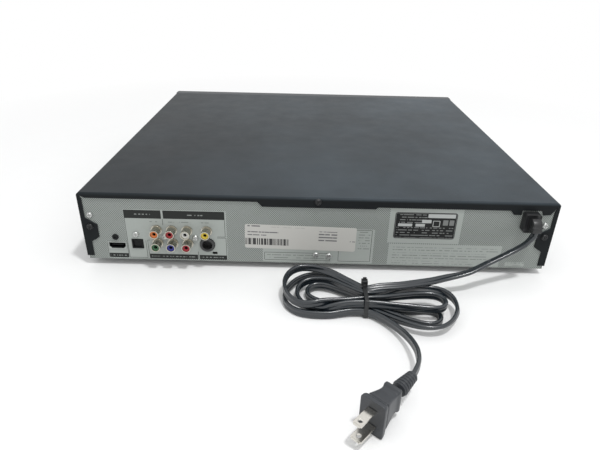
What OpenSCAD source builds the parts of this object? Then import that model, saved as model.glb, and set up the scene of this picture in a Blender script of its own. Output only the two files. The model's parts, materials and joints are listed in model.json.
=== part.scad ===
// Disc player with a sliding drawer that carries a turntable for five discs.
// Front faces -Y, back faces +Y, +X is the right-hand side seen from the front, +Z is up.
// The origin is on the surface that the feet stand on, under the middle of the case.

/* [Case] */
// Outside width of the cover
body_w = 430; // [426:1:460]
// Height of the top of the cover above the surface
body_h = 74.4; // [74:0.2:90]
// Depth of the cover, from its front edge to its back flange
cover_d = 388; // [386:1:430]
// Depth of the front panel ahead of the cover
panel_d = 19; // [16:1:24]
// Height of the feet
foot_h = 6.5; // [5.5:0.5:9]
// Radius of a foot
foot_r = 14; // [10:1:18]
// Thickness of the steel sheet
sheet_t = 1; // [0.8:0.1:1.2]
// Bend radius along the cover's top edges
bend_r = 2.5; // [1.5:0.5:4]
// Wall of the front panel
panel_wall = 3; // [2.5:0.5:4]
// Gap between the cover and the pieces inside it
case_gap = 0.3; // [0.2:0.1:0.6]

/* [Cover flanges] */
// Height of the lower edge of the cover's sides above the surface
skirt_z = 10.3; // [8:0.1:12]
// Drop of the back band on the socket side
band_socket = 4.8; // [4:0.2:6]
// Drop of the back band in the middle
band_middle = 9.4; // [8:0.2:11]
// Drop of the back band on the cord side
band_cord = 7.6; // [6:0.2:9]
// Drop of the back band beside the cord bush
band_deep = 11.6; // [10:0.2:13]
// Width of the side flange below its screw tab
flange_low = 6.3; // [5:0.1:8]
// Width of the side flange above its screw tab
flange_high = 3.8; // [3:0.1:5]
// Reach of the screw tab from the cover's side
tab_reach = 14; // [12:0.5:16]
// Height of the tab screws above the surface
tab_screw_z = 41; // [38:0.5:46]

/* [Sockets] */
// Reach of the phono sockets past the cover's back face
jack_out = 9; // [8:0.5:11]
// Spacing of the phono sockets, across and up
jack_pitch = 14; // [13:0.1:15]
// Radius of a phono socket's shell
jack_r = 4.15; // [4:0.05:4.3]
// Distance of the first column of phono sockets from the cover's side
jack_in = 67.6; // [66:0.1:74]
// Height of the lower row of phono sockets
jack_z = 25; // [24:0.5:28]
// Radius of the hole in a phono socket's insert
jack_bore_r = 1.6; // [1.5:0.05:1.8]
// Distance of the yellow and S-video sockets from the third column of phono sockets
video_gap = 18; // [14.5:0.1:20]
// Radius of the S-video socket's collar
svideo_r = 6.8; // [6:0.1:7]
// Distance of the digital video socket from the cover's side
hdmi_in = 29.6; // [29:0.1:31]
// Width of the digital video socket
hdmi_w = 15.2; // [14.5:0.1:15.6]
// Height of the digital video socket
hdmi_h = 5.8; // [5.4:0.1:6.4]
// Distance of the optical socket from the cover's side
optical_in = 48.6; // [47:0.1:50]
// Width of the optical socket
optical_w = 10.3; // [9.6:0.1:11]
// Height of the optical socket
optical_h = 9.5; // [9:0.1:10]

/* [Drawer] */
// Diameter of a disc
disc_d = 120; // [118:1:120]
// Radius of the circle that the disc centres lie on
disc_ring_r = 105; // [104.5:0.5:106]
// Number of discs on the turntable
disc_count = 5; // [5:1:5]
// Travel of the drawer
drawer_travel = 220; // [160:5:225]
// Height of the underside of the drawer
tray_z = 36; // [35.5:0.1:36.5]
// Thickness of the drawer's floor
tray_t = 2.5; // [2:0.1:2.8]
// Thickness of the drawer's side walls
tray_wall = 2; // [1.6:0.1:2.4]
// Gap between the turntable and the drawer's walls
carousel_gap = 1.5; // [1:0.1:2.5]
// Width of the slot from each disc's centre to the rim
slot_w = 60; // [56:1:62]
// Thickness of the turntable
carousel_t = 8; // [7.4:0.2:8.4]
// Depth of the recess for a disc
well_depth = 3.5; // [3:0.1:4]
// Tooth module of the drawer's and the turntable's gears
tooth_m = 1.5; // [1.5:0.1:1.5]
// Teeth of the ring gear under the turntable
ring_teeth = 80; // [80:1:80]
// Teeth of the turntable's pinion
pinion_teeth = 12; // [12:1:12]
// Teeth of the drawer's gear
drawer_teeth = 16; // [16:1:16]

/* [Disc drive] */
// Height that the base unit is lifted to play
lift_h = 13; // [12.6:0.1:13.2]
// Travel of the cam slider
cam_travel = 20; // [16:1:22]
// Travel of the pickup sled
sled_travel = 35; // [30:1:35]
// Radius of the spindle's platter
platter_r = 15; // [13:0.5:16]
// Height of the platter's face when the base unit is up
platter_z = 52.5; // [52:0.1:52.8]
// Radius of the clamp disc
clamp_r = 17; // [16:0.5:19]

/* [Buttons] */
// Spacing of the control buttons
button_pitch = 22; // [20:0.5:24]
// Width of a control button
button_w = 17; // [15:0.5:18]
// Height of a control button
button_h = 8; // [7:0.5:10]
// Travel of a button
button_travel = 0.5; // [0.3:0.1:0.5]
// Reach of a button from the front panel's lower band
button_out = 1; // [0.6:0.1:1.4]

/* [Cord] */
// Radius of the round tube that stands for the flat cord
cord_r = 3.6; // [3:0.1:4]
// Height of the hank
hank_h = 18; // [16:1:20]
// Height of the plug's middle above the surface
plug_z = 13.65; // [13.65:0.05:15]

/* [Hidden] */
$fn = 48;

// Whole case
total_d = panel_d + cover_d + jack_out;
half_w = body_w / 2;
y_front = -total_d / 2;
y_cover = y_front + panel_d;
y_back = y_cover + cover_d;
deck_z = foot_h + sheet_t;
inner_top = body_h - sheet_t;
inner_w = half_w - sheet_t;
panel_y = y_back - sheet_t;
eps = 0.01;
run_gap = 0.05;
small_gap = 0.2;
screw_r = 1.5;
screw_gap = 0.05;

// Rear panel and chassis
chassis_wall_z = deck_z + 20.5;
rear_in = panel_y - sheet_t;
panel_hole_gap = 0.3;
top_row_z = jack_z + jack_pitch - 0.55;
hdmi_z = 21.4;
optical_z = 23.55;
svideo_z = 24.2;
bush_x0 = -half_w + 15.7;
bush_x1 = bush_x0 + 16.8;
jack_x = half_w - jack_in;
video_x = jack_x - 2 * jack_pitch - video_gap;
video_screw_gap = 10.8;
hdmi_x = half_w - hdmi_in;
optical_x = half_w - optical_in;
bush_z0 = 46.5;
bush_z1 = 66.5;
bush_out = 8;

// Front panel: the drawer's opening above, the lower band set back
door_z0 = tray_z - 5;
door_z1 = 66;
door_gap = 0.5;
tray_half = disc_ring_r + disc_d / 2 + 1.5 + carousel_gap + tray_wall;
rail_w = 4;
door_half = tray_half + rail_w + 1.5;
opening_half = door_half + door_gap;
band_back = 2;
band_y = y_front + band_back;
panel_gap = 1;
panel_z0 = 4;
panel_top = body_h - 0.3;
panel_back = y_cover - panel_gap;
control_z = 18.5;
window_z0 = 10.5;
window_z1 = 27;
window_step = 3;
pcb_t = 1.6;
board_y = band_y + 10;

// Drawer and turntable
door_t = 8;
tray_front = y_front + door_t;
carousel_r = disc_ring_r + disc_d / 2 + 1.5;
carousel_y = tray_front + tray_wall + carousel_gap + carousel_r;
tray_rear = carousel_y + carousel_r + 11.5;
tray_floor = tray_z + tray_t;
tray_top = tray_z + 16;
carousel_z = tray_z + 7;
carousel_top = carousel_z + carousel_t;
well_r = disc_d / 2 + 0.3;
small_well_r = 41;
small_well_drop = 1.5;
pin_r = 4;
hub_pad_r = 14;
play_y = carousel_y + disc_ring_r;
well_half = 62;
cut_half = well_half + 10;
cut_front = play_y - 37;
rail_z0 = tray_z + 4;
rail_z1 = tray_z + 7;
ring_pitch_r = ring_teeth * tooth_m / 2;
pinion_pitch_r = pinion_teeth * tooth_m / 2;
drawer_pitch_r = drawer_teeth * tooth_m / 2;
mesh_gap = 0.15;
pinion_angle = -58.5;
pinion_dist = ring_pitch_r + pinion_pitch_r + mesh_gap;
pinion_x = pinion_dist * cos(pinion_angle);
pinion_y = carousel_y + pinion_dist * sin(pinion_angle);
rack_x = cut_half + 6;
rack_w = 6;
rack_z0 = tray_z - 4;
tooth_pitch = PI * tooth_m;
gear_x = rack_x - drawer_pitch_r - mesh_gap;
gear_y = tray_rear - drawer_travel - 6;
rack_y0 = gear_y - 3 * tooth_pitch;
rack_y1 = gear_y + drawer_travel + 6;

// Guides and clamp
guide_in = tray_half + 0.4;
guide_wall_x = tray_half + rail_w + 0.3;
guide_wall = 3.7;
guide_top = tray_top - 4;
guide_front = y_cover + 6;
bridge_z = 60;
bridge_t = 1.5;
clamp_z = platter_z + 2.1;
clamp_hole_r = clamp_r - 3;

// Disc drive, drawn level and raised, then let down by lift_h
plate_z = 34;
plate_t = 1.2;
motor_r = 12;
rod_x = 26;
rod_z = plate_z + 5.2;
rod_r = 1.5;
screw_x = -38;
lens_r0 = 23;
sled_front = play_y + lens_r0 - 7;
sled_back = play_y + lens_r0 + 15;
rod_front = sled_front - 3.5;
rod_back = sled_back + sled_travel + 3.5;
holder_front = play_y - 29;
holder_back = play_y + 87;
holder_half = well_half - 4;
holder_z = 23;
holder_t = 7;
holder_wall = 8;
pin_front_y = play_y - 17;
pin_rear_y = play_y + 75;
cam_pin_r = 2;
cam_pin_z = 26;
slot_play = 0.2;
well_wall = 3;
well_top = tray_z - 5;
frame_base = 2;
frame_half = rack_x + 6;
slider_x1 = -(well_half + well_wall + 0.6);
slider_t = 2;
belt_z = 26;
motor_x = 20;
big_pulley_r = 20;
small_pulley_r = 6;
groove_depth = 1.5;
belt_t = 1.5;
belt_gap = 0.3;

// Boards
power_z = 14;
av_z = 16;
av_top = av_z + pcb_t;
board_in = frame_half + 7;
board_out = tray_half - 3;
av_wide = half_w - 11;
cable_x0 = board_in + 9;
cable_x1 = cable_x0 + 18;

// Buttons across the lower band
stop_x = half_w - 23;
pause_x = stop_x - button_pitch;
play_x = pause_x - button_pitch;
disc_x = play_x - button_pitch;
open_x = disc_x - button_pitch;
power_x = -half_w + 25;
power_r = 6.5;
window_half = open_x - button_w / 2 - 15.5;

// Free cord, from the bush down to the hank
lead_route = [[-191.5, 212, 53.8], [-191.5, 212.5, 48], [-188, 212, 41.5], [-182, 212, 35.5],
  [-173, 213, 30], [-162, 215, 25], [-149, 219, 20.5], [-136, 225, 18.5], [-121, 231, 17],
  [-106, 236.5, 16], [-89, 241, 15.3]];
// Free cord, from the hank to the plug
tail_route = [[-46, 272, 5.2], [-51, 277, 5.6], [-57, 283.5, 5.8], [-63, 292.5, 6.8],
  [-67.6, 303, 8.5], [-70.2, 314, 10.6], [-71, 325, 12.3], [-69, 337.5, 13.3], [-62.9, 349.4, 13.65]];
tube_sides = 10;
tube_steps = 3;
hank_left = [2, 246];
hank_left_r = 28.4;
hank_right = [-91, 266.5];
hank_right_r = 27;
tie_x = -40;
tie_w = 4.6;
tie_t = 1.4;
waist_y0 = 247.5;
waist_y1 = 271;
plug_angle = 48.4;

// A block between its low and high corners
module block(lo, hi) {
  translate(lo) cube(hi - lo);
}

// A flat rectangle with round corners, middle on the origin
module round_rect(w, h, r) {
  square([w - 2 * r, h], center = true);
  square([w, h - 2 * r], center = true);
  for (x = [-1, 1], y = [-1, 1]) translate([x * (w / 2 - r), y * (h / 2 - r)]) circle(r);
}

// Draws a 2D shape on the XZ plane and gives it depth from y0 to y1
module along_y(y0, y1) {
  translate([0, y1, 0]) rotate([90, 0, 0]) linear_extrude(y1 - y0) children();
}

// Draws a 2D shape on the YZ plane and gives it width from x0 to x1
module along_x(x0, x1) {
  translate([x0, 0, 0]) rotate([90, 0, 90]) linear_extrude(x1 - x0) children();
}

// A round bar along Y
module bar_y(x, z, r, y0, y1) {
  translate([x, y1, z]) rotate([90, 0, 0]) cylinder(h = y1 - y0, r = r);
}

// A round bar along X
module bar_x(y, z, r, x0, x1) {
  translate([x0, y, z]) rotate([0, 90, 0]) cylinder(h = x1 - x0, r = r);
}

// Outline of a spur gear with straight-sided teeth, one tooth on +X
function gear_points(teeth, m) = let (
    r = teeth * m / 2,
    step = 360 / teeth,
    tip = r + 0.85 * m,
    root = r - 1.05 * m)
  [for (i = [0 : teeth - 1], c = [[root, -0.31], [tip, -0.1], [tip, 0.1], [root, 0.31]])
    c[0] * [cos((i + c[1]) * step), sin((i + c[1]) * step)]];

module gear(teeth, m, h) {
  linear_extrude(h) polygon(gear_points(teeth, m));
}

// Outline of the cover seen from behind, grown inwards by inset
module cover_face(inset) {
  w = half_w - inset;
  top = body_h - inset;
  r = bend_r - inset / 2;
  translate([-w, 0]) square([2 * w, top - r]);
  translate([-w + r, 0]) square([2 * (w - r), top]);
  for (x = [-1, 1]) translate([x * (w - r), top - r]) circle(r);
}

// Outline of the cover seen from the side, grown inwards by inset
module cover_side(inset, front) {
  back = y_back - inset;
  top = body_h - inset;
  r = bend_r - inset / 2;
  translate([front, 0]) square([back - front, top - r]);
  translate([front, 0]) square([back - r - front, top]);
  translate([back - r, top - r]) circle(r);
}

module cover_solid(inset, front) {
  intersection() {
    along_y(front, y_back + 1) cover_face(inset);
    along_x(-half_w - 1, half_w + 1) cover_side(inset, front - 1);
  }
}

// Window in the cover's back, inside the band, the side flanges and their tabs
module cover_window() {
  s = half_w;
  top = body_h;
  tab = tab_screw_z;
  polygon([
    [s - flange_low, 0], [s - flange_low, tab - 16], [s - tab_reach, tab - 11],
    [s - tab_reach, tab + 2], [s - flange_high, tab + 8.5], [s - flange_high, top - 6],
    [s - 2, top - 2], [s - 7, top - band_socket], [54.4, top - band_socket],
    [50, top - band_middle], [-51.8, top - band_middle], [-53.7, top - band_cord],
    [bush_x1 + 10.7, top - band_cord], [bush_x1 + 7.1, top - band_deep], [bush_x1 + 0.4, top - band_deep],
    [bush_x1 + 0.4, bush_z1 + 0.7], [bush_x0 - 0.4, bush_z1 + 0.7],
    [bush_x0 - 2.2, top - band_deep], [-s + 7, top - band_deep + 0.6], [-s + 2, top - 2.4],
    [-s + flange_high, top - 9], [-s + flange_high, tab + 8.5], [-s + tab_reach, tab + 2],
    [-s + tab_reach, tab - 11], [-s + flange_low, tab - 16], [-s + flange_low, 0]]);
}

cover_screw_places = [[0, body_h - 3.6], [half_w - 7.4, tab_screw_z], [-half_w + 7.4, tab_screw_z]];

module top_cover() color("#34383a") difference() {
  cover_solid(0, y_cover);
  cover_solid(sheet_t, y_cover - 2);
  block([-half_w - 1, y_cover - 2, -1], [half_w + 1, y_back + 2, skirt_z]);
  along_y(panel_y - 1, y_back + 1) cover_window();
  for (p = cover_screw_places) bar_y(p[0], p[1], screw_r + screw_gap, panel_y - 1, y_back + 1);
}

vent_rows = 3;
vent_count = 11;
module chassis_vents() {
  for (row = [0 : vent_rows - 1], i = [0 : vent_count - 1])
    translate([-160 + 8 * i, -120 + 45 * row, foot_h - 1])
      linear_extrude(sheet_t + 2) round_rect(3.4, 34, 1.6);
}

board_posts = [for (x = [-board_out + 4, -board_in - 4], y = [50, rear_in - 12]) [x, y]];
av_posts = [[board_in + 4, 66], [board_out - 4, 66], [board_in + 4, rear_in - 19], [av_wide - 5, rear_in - 37]];

module bottom_chassis() color("#9a9f9c") {
  w = inner_w - case_gap;
  front = y_cover + 1;
  difference() {
    union() {
      block([-w, front, foot_h], [w, rear_in, deck_z]);
      for (x = [-w, w - sheet_t])
        block([x, front, deck_z], [x + sheet_t, rear_in, chassis_wall_z]);
      block([-w + 10, front, deck_z], [w - 10, front + sheet_t, chassis_wall_z - 12]);
      for (p = board_posts) translate([p[0], p[1], deck_z]) cylinder(h = power_z - deck_z, r = 3);
      for (p = av_posts) translate([p[0], p[1], deck_z]) cylinder(h = av_z - deck_z, r = 3);
    }
    chassis_vents();
    block([cable_x0 - 1, front - 1, deck_z], [cable_x1 + 1, front + sheet_t + 1, chassis_wall_z]);
  }
}

panel_screw_places = [[half_w - 8.4, 52.3], [-half_w + 8.9, 52.3], [optical_x + 0.6, 33.5],
  [jack_x - 6.8, 31.6], [video_x + video_screw_gap, 31], [0.2, 15.8], [-11.9, 15.1]];

function jack_places() = [for (c = [0, 1, 2], z = [jack_z, top_row_z]) [jack_x - c * jack_pitch, z]];
all_jacks = concat(jack_places(), [[video_x, top_row_z]]);

module rear_panel() color("#8f9692") difference() {
  w = inner_w - case_gap;
  block([-w, rear_in, foot_h], [w, panel_y, inner_top - bend_r]);
  for (p = all_jacks) bar_y(p[0], p[1], jack_r + 0.4, rear_in - 1, panel_y + 1);
  bar_y(video_x, svideo_z, svideo_r + panel_hole_gap, rear_in - 1, panel_y + 1);
  hw = hdmi_w / 2 + panel_hole_gap;
  hh = hdmi_h / 2 + panel_hole_gap;
  block([hdmi_x - hw, rear_in - 1, hdmi_z - hh], [hdmi_x + hw, panel_y + 1, hdmi_z + hh]);
  ow = optical_w / 2 + panel_hole_gap;
  oh = optical_h / 2 + panel_hole_gap;
  block([optical_x - ow, rear_in - 1, optical_z - oh], [optical_x + ow, panel_y + 1, optical_z + oh]);
  bar_y(hdmi_x + 0.9, hdmi_z + 8.8, 2.6, rear_in - 1, panel_y + 1);
  block([video_x - 8.8, rear_in - 1, 13.8], [video_x - 4.2, panel_y + 1, 16.6]);
  block([bush_x0 + 2, rear_in - 1, bush_z0 + 2], [bush_x1 - 2, panel_y + 1, bush_z1 - 2]);
  for (p = panel_screw_places) bar_y(p[0], p[1], screw_r + screw_gap, rear_in - 1, panel_y + 1);
  for (p = cover_screw_places) bar_y(p[0], p[1], screw_r + screw_gap, rear_in - 1, panel_y + 1);
}

// Outline of the front panel from above, with round front corners
module panel_plan(front, inset) {
  w = half_w - inset;
  r = 8 - inset;
  translate([-w, front + r]) square([2 * w, panel_back - front - r + eps]);
  translate([-w + r, front]) square([2 * (w - r), r + 1]);
  for (x = [-1, 1]) translate([x * (w - r), front + r]) circle(r);
}

// Outline of the front panel from the side, the lower band set back
module panel_profile() {
  polygon([[y_front + 4, panel_top], [y_front + 1.2, panel_top - 0.9], [y_front, panel_top - 3.7],
    [y_front, door_z0 - 1.5], [band_y, door_z0 - 3.5], [band_y, panel_z0 + 2], [band_y + 2, panel_z0],
    [panel_back, panel_z0], [panel_back, panel_top]]);
}

module control_cap(w, h, y0, y1) {
  along_y(y0, y1) round_rect(w, h, h / 2 - 0.6);
}

button_places = [open_x, disc_x, play_x, pause_x, stop_x];
board_bosses = [-half_w + 10, power_x + 30, -window_half - 10, window_half + 11, half_w - 12];

module front_panel() color("#54585a") difference() {
  union() {
    difference() {
      intersection() {
        translate([0, 0, panel_z0]) linear_extrude(body_h) panel_plan(y_front, 0);
        along_x(-half_w, half_w) panel_profile();
      }
      translate([0, 0, panel_z0 + panel_wall - 0.5])
        linear_extrude(panel_top - panel_z0 - 2 * panel_wall + 0.5) panel_plan(band_y + panel_wall, panel_wall);
    }
    // Lip that enters the cover
    block([-inner_w + 4, panel_back - 4, inner_top - 2.2], [inner_w - 4, y_cover + 5, inner_top - 0.4]);
    // Bosses for the front board
    for (x = board_bosses) bar_y(x, 9, 2.6, band_y + panel_wall - 0.5, board_y);
  }
  block([-opening_half, y_front - 1, door_z0 - door_gap], [opening_half, y_cover + 2, door_z1 + door_gap]);
  block([-window_half, band_y - 1, window_z0], [window_half, band_y + 1.6, window_z1]);
  block([-window_half + window_step, band_y - 1, window_z0 + window_step],
    [window_half - window_step, band_y + 5, window_z1 - window_step]);
  for (x = button_places) translate([x, 0, control_z])
    control_cap(button_w + 2 * panel_hole_gap, button_h + 2 * panel_hole_gap, band_y - 1, band_y + 5);
  bar_y(power_x, control_z, power_r + panel_hole_gap, band_y - 1, band_y + 5);
}

module display_window() color("#15181a")
  block([-window_half + small_gap, band_y + 0.1, window_z0 + small_gap],
    [window_half - small_gap, band_y + 1.6, window_z1 - small_gap]);

foot_places = [for (x = [-1, 1], y = [y_cover + 42, y_back - 48]) [x * (half_w - 48), y]];
module feet() color("#1d1f20") for (p = foot_places) translate([p[0], p[1], 0])
  rotate_extrude() polygon([[0, 0], [foot_r - 4, 0], [foot_r - 3, 0.8], [foot_r - 2.2, 0.8],
    [foot_r, foot_h - 1.5], [foot_r, foot_h], [0, foot_h]]);

// A pan-head screw with its head on the plane y = 0 and its shank towards -Y
module pan_screw(head_r, head_h, shank_l) {
  rotate([90, 0, 0]) translate([0, 0, -head_h]) difference() {
    union() {
      rotate_extrude() polygon([[0, 0], [head_r * 0.75, 0], [head_r * 0.95, head_h * 0.45],
        [head_r, head_h], [screw_r, head_h], [screw_r, head_h + shank_l], [0, head_h + shank_l]]);
    }
    block([-head_r * 0.6, -0.35, -1], [head_r * 0.6, 0.35, 0.8]);
    block([-0.35, -head_r * 0.6, -1], [0.35, head_r * 0.6, 0.8]);
  }
}

module cover_screws() color("#161819") for (p = cover_screw_places)
  translate([p[0], y_back, p[1]]) pan_screw(3.1, 1.7, 6);

module panel_screws() color("#c9cdcb") for (p = panel_screw_places)
  translate([p[0], panel_y, p[1]]) pan_screw(2.9, 1.5, 5);

// Slanted cam slot for a lift pin whose lowered place is y
module cam_slot(y) {
  low = cam_pin_z - lift_h;
  slot_r = cam_pin_r + slot_play;
  angle = atan2(lift_h, cam_travel);
  bar_x(y, low, slot_r, slider_x1 - slider_t - 1, slider_x1 + 1);
  bar_x(y + cam_travel, low + lift_h, slot_r, slider_x1 - slider_t - 1, slider_x1 + 1);
  translate([slider_x1 - slider_t - 1, y, low]) rotate([angle, 0, 0])
    translate([0, 0, -slot_r]) cube([slider_t + 2, norm([cam_travel, lift_h]), 2 * slot_r]);
}

module upright_slot(y) {
  slot_r = cam_pin_r + slot_play;
  low = cam_pin_z - lift_h;
  for (z = [low, low + lift_h]) bar_x(y, z, slot_r, -well_half - well_wall - 1, well_half + well_wall + 1);
  block([-well_half - well_wall - 1, y - slot_r, low], [well_half + well_wall + 1, y + slot_r, low + lift_h]);
}

frame_front = gear_y - 26;
frame_back = holder_back + 10;
module mechanism_frame() color("#3a3d3f") {
  base_top = deck_z + frame_base;
  block([-frame_half, frame_front, deck_z], [frame_half, frame_back, base_top]);
  difference() {
    union() {
      for (x = [-well_half - well_wall, well_half])
        block([x, holder_front - 7, base_top], [x + well_wall, frame_back, well_top]);
      block([-well_half, holder_front - 7, base_top], [well_half, holder_front - 4, well_top - 4]);
      block([-well_half, holder_back + 4, base_top], [well_half, holder_back + 7, well_top - 4]);
    }
    upright_slot(pin_front_y);
    upright_slot(pin_rear_y);
  }
  translate([gear_x, gear_y, base_top]) cylinder(h = belt_z - 2.1 - base_top, r = 4);
  translate([gear_x, gear_y, base_top]) cylinder(h = rack_z0 - 1 - base_top, r = 2);
}

guide_base = 2;
module drawer_guides() color("#3a3d3f") for (side = [0, 1]) mirror([side, 0, 0]) {
  y1 = tray_rear + 2;
  block([guide_wall_x, guide_front, deck_z], [guide_wall_x + guide_wall, y1, guide_top]);
  block([guide_wall_x, guide_front, deck_z], [guide_wall_x + 14, y1, deck_z + guide_base]);
  block([guide_in, guide_front, rail_z0 - 2.6], [guide_wall_x, y1, rail_z0 - small_gap]);
  block([guide_in, guide_front, rail_z1 + small_gap], [guide_wall_x, y1, rail_z1 + 2]);
  block([guide_wall_x, play_y - 26, guide_top - 2], [guide_wall_x + 12, play_y + 26, guide_top]);
}

module clamp_bridge() color("#b4b8b6") difference() {
  leg_x = guide_wall_x + 0.5;
  union() {
    block([-leg_x - bridge_t, play_y - 20, bridge_z], [leg_x + bridge_t, play_y + 20, bridge_z + bridge_t]);
    for (y = [play_y - 20, play_y + 20 - bridge_t])
      block([-leg_x + 6, y, bridge_z], [leg_x - 6, y + bridge_t, bridge_z + 6]);
    for (side = [0, 1]) mirror([side, 0, 0]) {
      block([leg_x, play_y - 20, guide_top], [leg_x + bridge_t, play_y + 20, bridge_z]);
      block([leg_x, play_y - 20, guide_top], [leg_x + 10, play_y + 20, guide_top + bridge_t]);
    }
  }
  translate([0, play_y, bridge_z - 1]) cylinder(h = bridge_t + 2, r = clamp_hole_r);
}

module clamp_disc() color("#26292b") translate([0, play_y, 0]) difference() {
  rotate_extrude() polygon([[0, clamp_z + 2.6], [9, clamp_z + 2.6], [9, clamp_z], [clamp_r, clamp_z],
    [clamp_r, clamp_z + 1.8], [clamp_hole_r - 0.6, clamp_z + 2.4],
    [clamp_hole_r - 0.6, bridge_z + bridge_t + small_gap],
    [clamp_r - 0.5, bridge_z + bridge_t + small_gap], [clamp_r - 0.5, bridge_z + bridge_t + 1.7],
    [10, bridge_z + bridge_t + 2.7], [0, bridge_z + bridge_t + 2.7]]);
}

module loading_motor() color("#a9adab") translate([motor_x, gear_y, 0]) {
  base_top = deck_z + frame_base;
  translate([0, 0, base_top]) cylinder(h = 13, r = 12);
  translate([0, 0, base_top]) cylinder(h = 14.2, r = 3.5);
  translate([0, 0, base_top]) cylinder(h = belt_z + 2.6 - base_top, r = 1);
}

// Pulley with a groove for the belt, from belt_z - 2 to belt_z + 2
module pulley(r) {
  rotate_extrude() polygon([[0, -2], [r, -2], [r, -1.2], [r - groove_depth, -1.2],
    [r - groove_depth, 1.2], [r, 1.2], [r, 2], [0, 2]]);
}

module motor_pulley() color("#d8d4c4") translate([motor_x, gear_y, belt_z]) difference() {
  pulley(small_pulley_r);
  translate([0, 0, -3]) cylinder(h = 6, r = 1 + run_gap);
}

module drawer_gear() color("#d8d4c4") translate([gear_x, gear_y, 0]) difference() {
  union() {
    translate([0, 0, belt_z]) pulley(big_pulley_r);
    translate([0, 0, belt_z]) cylinder(h = rack_z0 - belt_z + 0.3, r = 8);
    translate([0, 0, rack_z0 + 0.2]) gear(drawer_teeth, tooth_m, tray_z - rack_z0 - 0.6);
  }
  translate([0, 0, belt_z - 3]) cylinder(h = 14, r = 2 + run_gap);
}

// Flat outline round both pulleys at a given distance from their grooves
module belt_outline(out) hull() {
  translate([gear_x, gear_y]) circle(big_pulley_r - groove_depth + out, $fn = 64);
  translate([motor_x, gear_y]) circle(small_pulley_r - groove_depth + out, $fn = 32);
}

module loading_belt() color("#1a1b1c") translate([0, 0, belt_z - 0.9]) linear_extrude(1.8)
  difference() {
    belt_outline(belt_gap + belt_t);
    belt_outline(belt_gap);
  }

module power_board() color("#b08a4e")
  block([-board_out, 42, power_z], [-board_in, rear_in - 6, power_z + pcb_t]);

module transformer() color("#c7b25a") translate([-board_out, 104, power_z + pcb_t]) {
  block([9, 0, 0], [43, 8, 17]);
  block([9, 22, 0], [43, 30, 17]);
  block([13, 8, 1.5], [39, 22, 15.5]);
}

module capacitors() color("#26313f") {
  translate([-board_out + 21, rear_in - 27, power_z + pcb_t]) cylinder(h = 28, r = 9);
  for (i = [0 : 3]) translate([-board_in - 15, 60 + 14 * i, power_z + pcb_t]) cylinder(h = 12, r = 4);
  for (i = [0 : 2]) translate([board_in + 27 + 12 * i, 146, av_top]) cylinder(h = 9, r = 3.2);
}

module heat_sink() color("#8f9494") translate([-board_in - 33, rear_in - 39, power_z + pcb_t]) {
  block([0, 0, 0], [3, 30, 26]);
  for (i = [0 : 4]) block([3, 6.6 * i, 0], [12, 6.6 * i + 1.6, 26]);
}

module av_board() color("#2f6b45") translate([0, 0, av_z]) linear_extrude(pcb_t)
  polygon([[board_in, 58], [board_out, 58], [board_out, rear_in - 41], [av_wide, rear_in - 41],
    [av_wide, rear_in - 1], [board_in, rear_in - 1]]);

module chips() color("#202225") translate([board_in, 0, av_top]) {
  block([23, 92, 0], [51, 120, 2.4]);
  block([9, 70, 0], [21, 92, 1.2]);
  block([55, 96, 0], [67, 114, 1.6]);
  block([37, 66, 0], [55, 76, 1.8]);
}

module front_board() color("#b08a4e") {
  block([-half_w + 8, board_y, 7.6], [half_w - 8, board_y + pcb_t, door_z0 - 2.5]);
  // Switches behind the buttons
  for (x = concat(button_places, [power_x])) {
    block([x - 3, board_y - 3.4, control_z - 3], [x + 3, board_y, control_z + 3]);
    bar_y(x, control_z, 1.7, board_y - 4.3, board_y - 3.4);
  }
}

module display_tube() color("#2b4a4a")
  block([-window_half + 20, board_y - 5, window_z0 + 1], [window_half - 20, board_y, window_z1 - 1]);

// Flat cable that lies on the deck and bends up to a board at each end
module ribbon_cables() color("#d9d9d2") {
  t = 0.8;
  front = board_y + pcb_t;
  low = deck_z + 0.1;
  along_x(cable_x0, cable_x1) polygon([[front, 12], [front + t, 12], [front + t, low],
    [64, low], [64, av_z], [64 - t, av_z], [64 - t, low + t], [front + 2 * t, low + t],
    [front + 2 * t, 13], [front, 13]]);
  block([-board_in - 6, rear_in - 15, power_z + pcb_t], [board_in + 6, rear_in - 7, av_z]);
}

// One phono socket's shell: a tube on a square foot behind the panel
module jack_shell(x, z) {
  difference() {
    union() {
      bar_y(x, z, jack_r, panel_y - 6, y_back + jack_out);
      bar_y(x, z, jack_r + 0.95, panel_y, panel_y + 0.9);
    }
    bar_y(x, z, jack_r - 0.7, panel_y - 7, y_back + jack_out + 1);
  }
}

module rca_shells() color("#c4c2ba") for (p = all_jacks) jack_shell(p[0], p[1]);

module rca_inserts() color("#c8a23c") for (p = all_jacks) difference() {
  bar_y(p[0], p[1], jack_r - 0.7, panel_y - 5, y_back + jack_out - 1.2);
  bar_y(p[0], p[1], jack_bore_r, panel_y + 1, y_back + jack_out + 1);
}

module rca_housing() color("#1c1e1f") difference() {
  x0 = jack_x - 2 * jack_pitch - 7;
  block([x0, rear_in - 14, av_top], [jack_x + 7, rear_in - small_gap, top_row_z + 7]);
  block([video_x - 7, rear_in - 14, svideo_z + 7.4], [x0 + 1, rear_in - small_gap, top_row_z + 7]);
  for (p = all_jacks) bar_y(p[0], p[1], jack_r + 0.1, panel_y - 6.2, panel_y + 1);
  for (p = panel_screw_places) bar_y(p[0], p[1], screw_r + screw_gap, rear_in - 8, panel_y);
}

module svideo_socket() color("#1d1f20") difference() {
  union() {
    bar_y(video_x, svideo_z, svideo_r, rear_in - 1, panel_y + 1.6);
    block([video_x - 7, rear_in - 12, av_top], [video_x + 7, rear_in - small_gap, svideo_z + 7.2]);
  }
  bar_y(video_x, svideo_z, 4.7, panel_y - 6, panel_y + 3);
}

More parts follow.
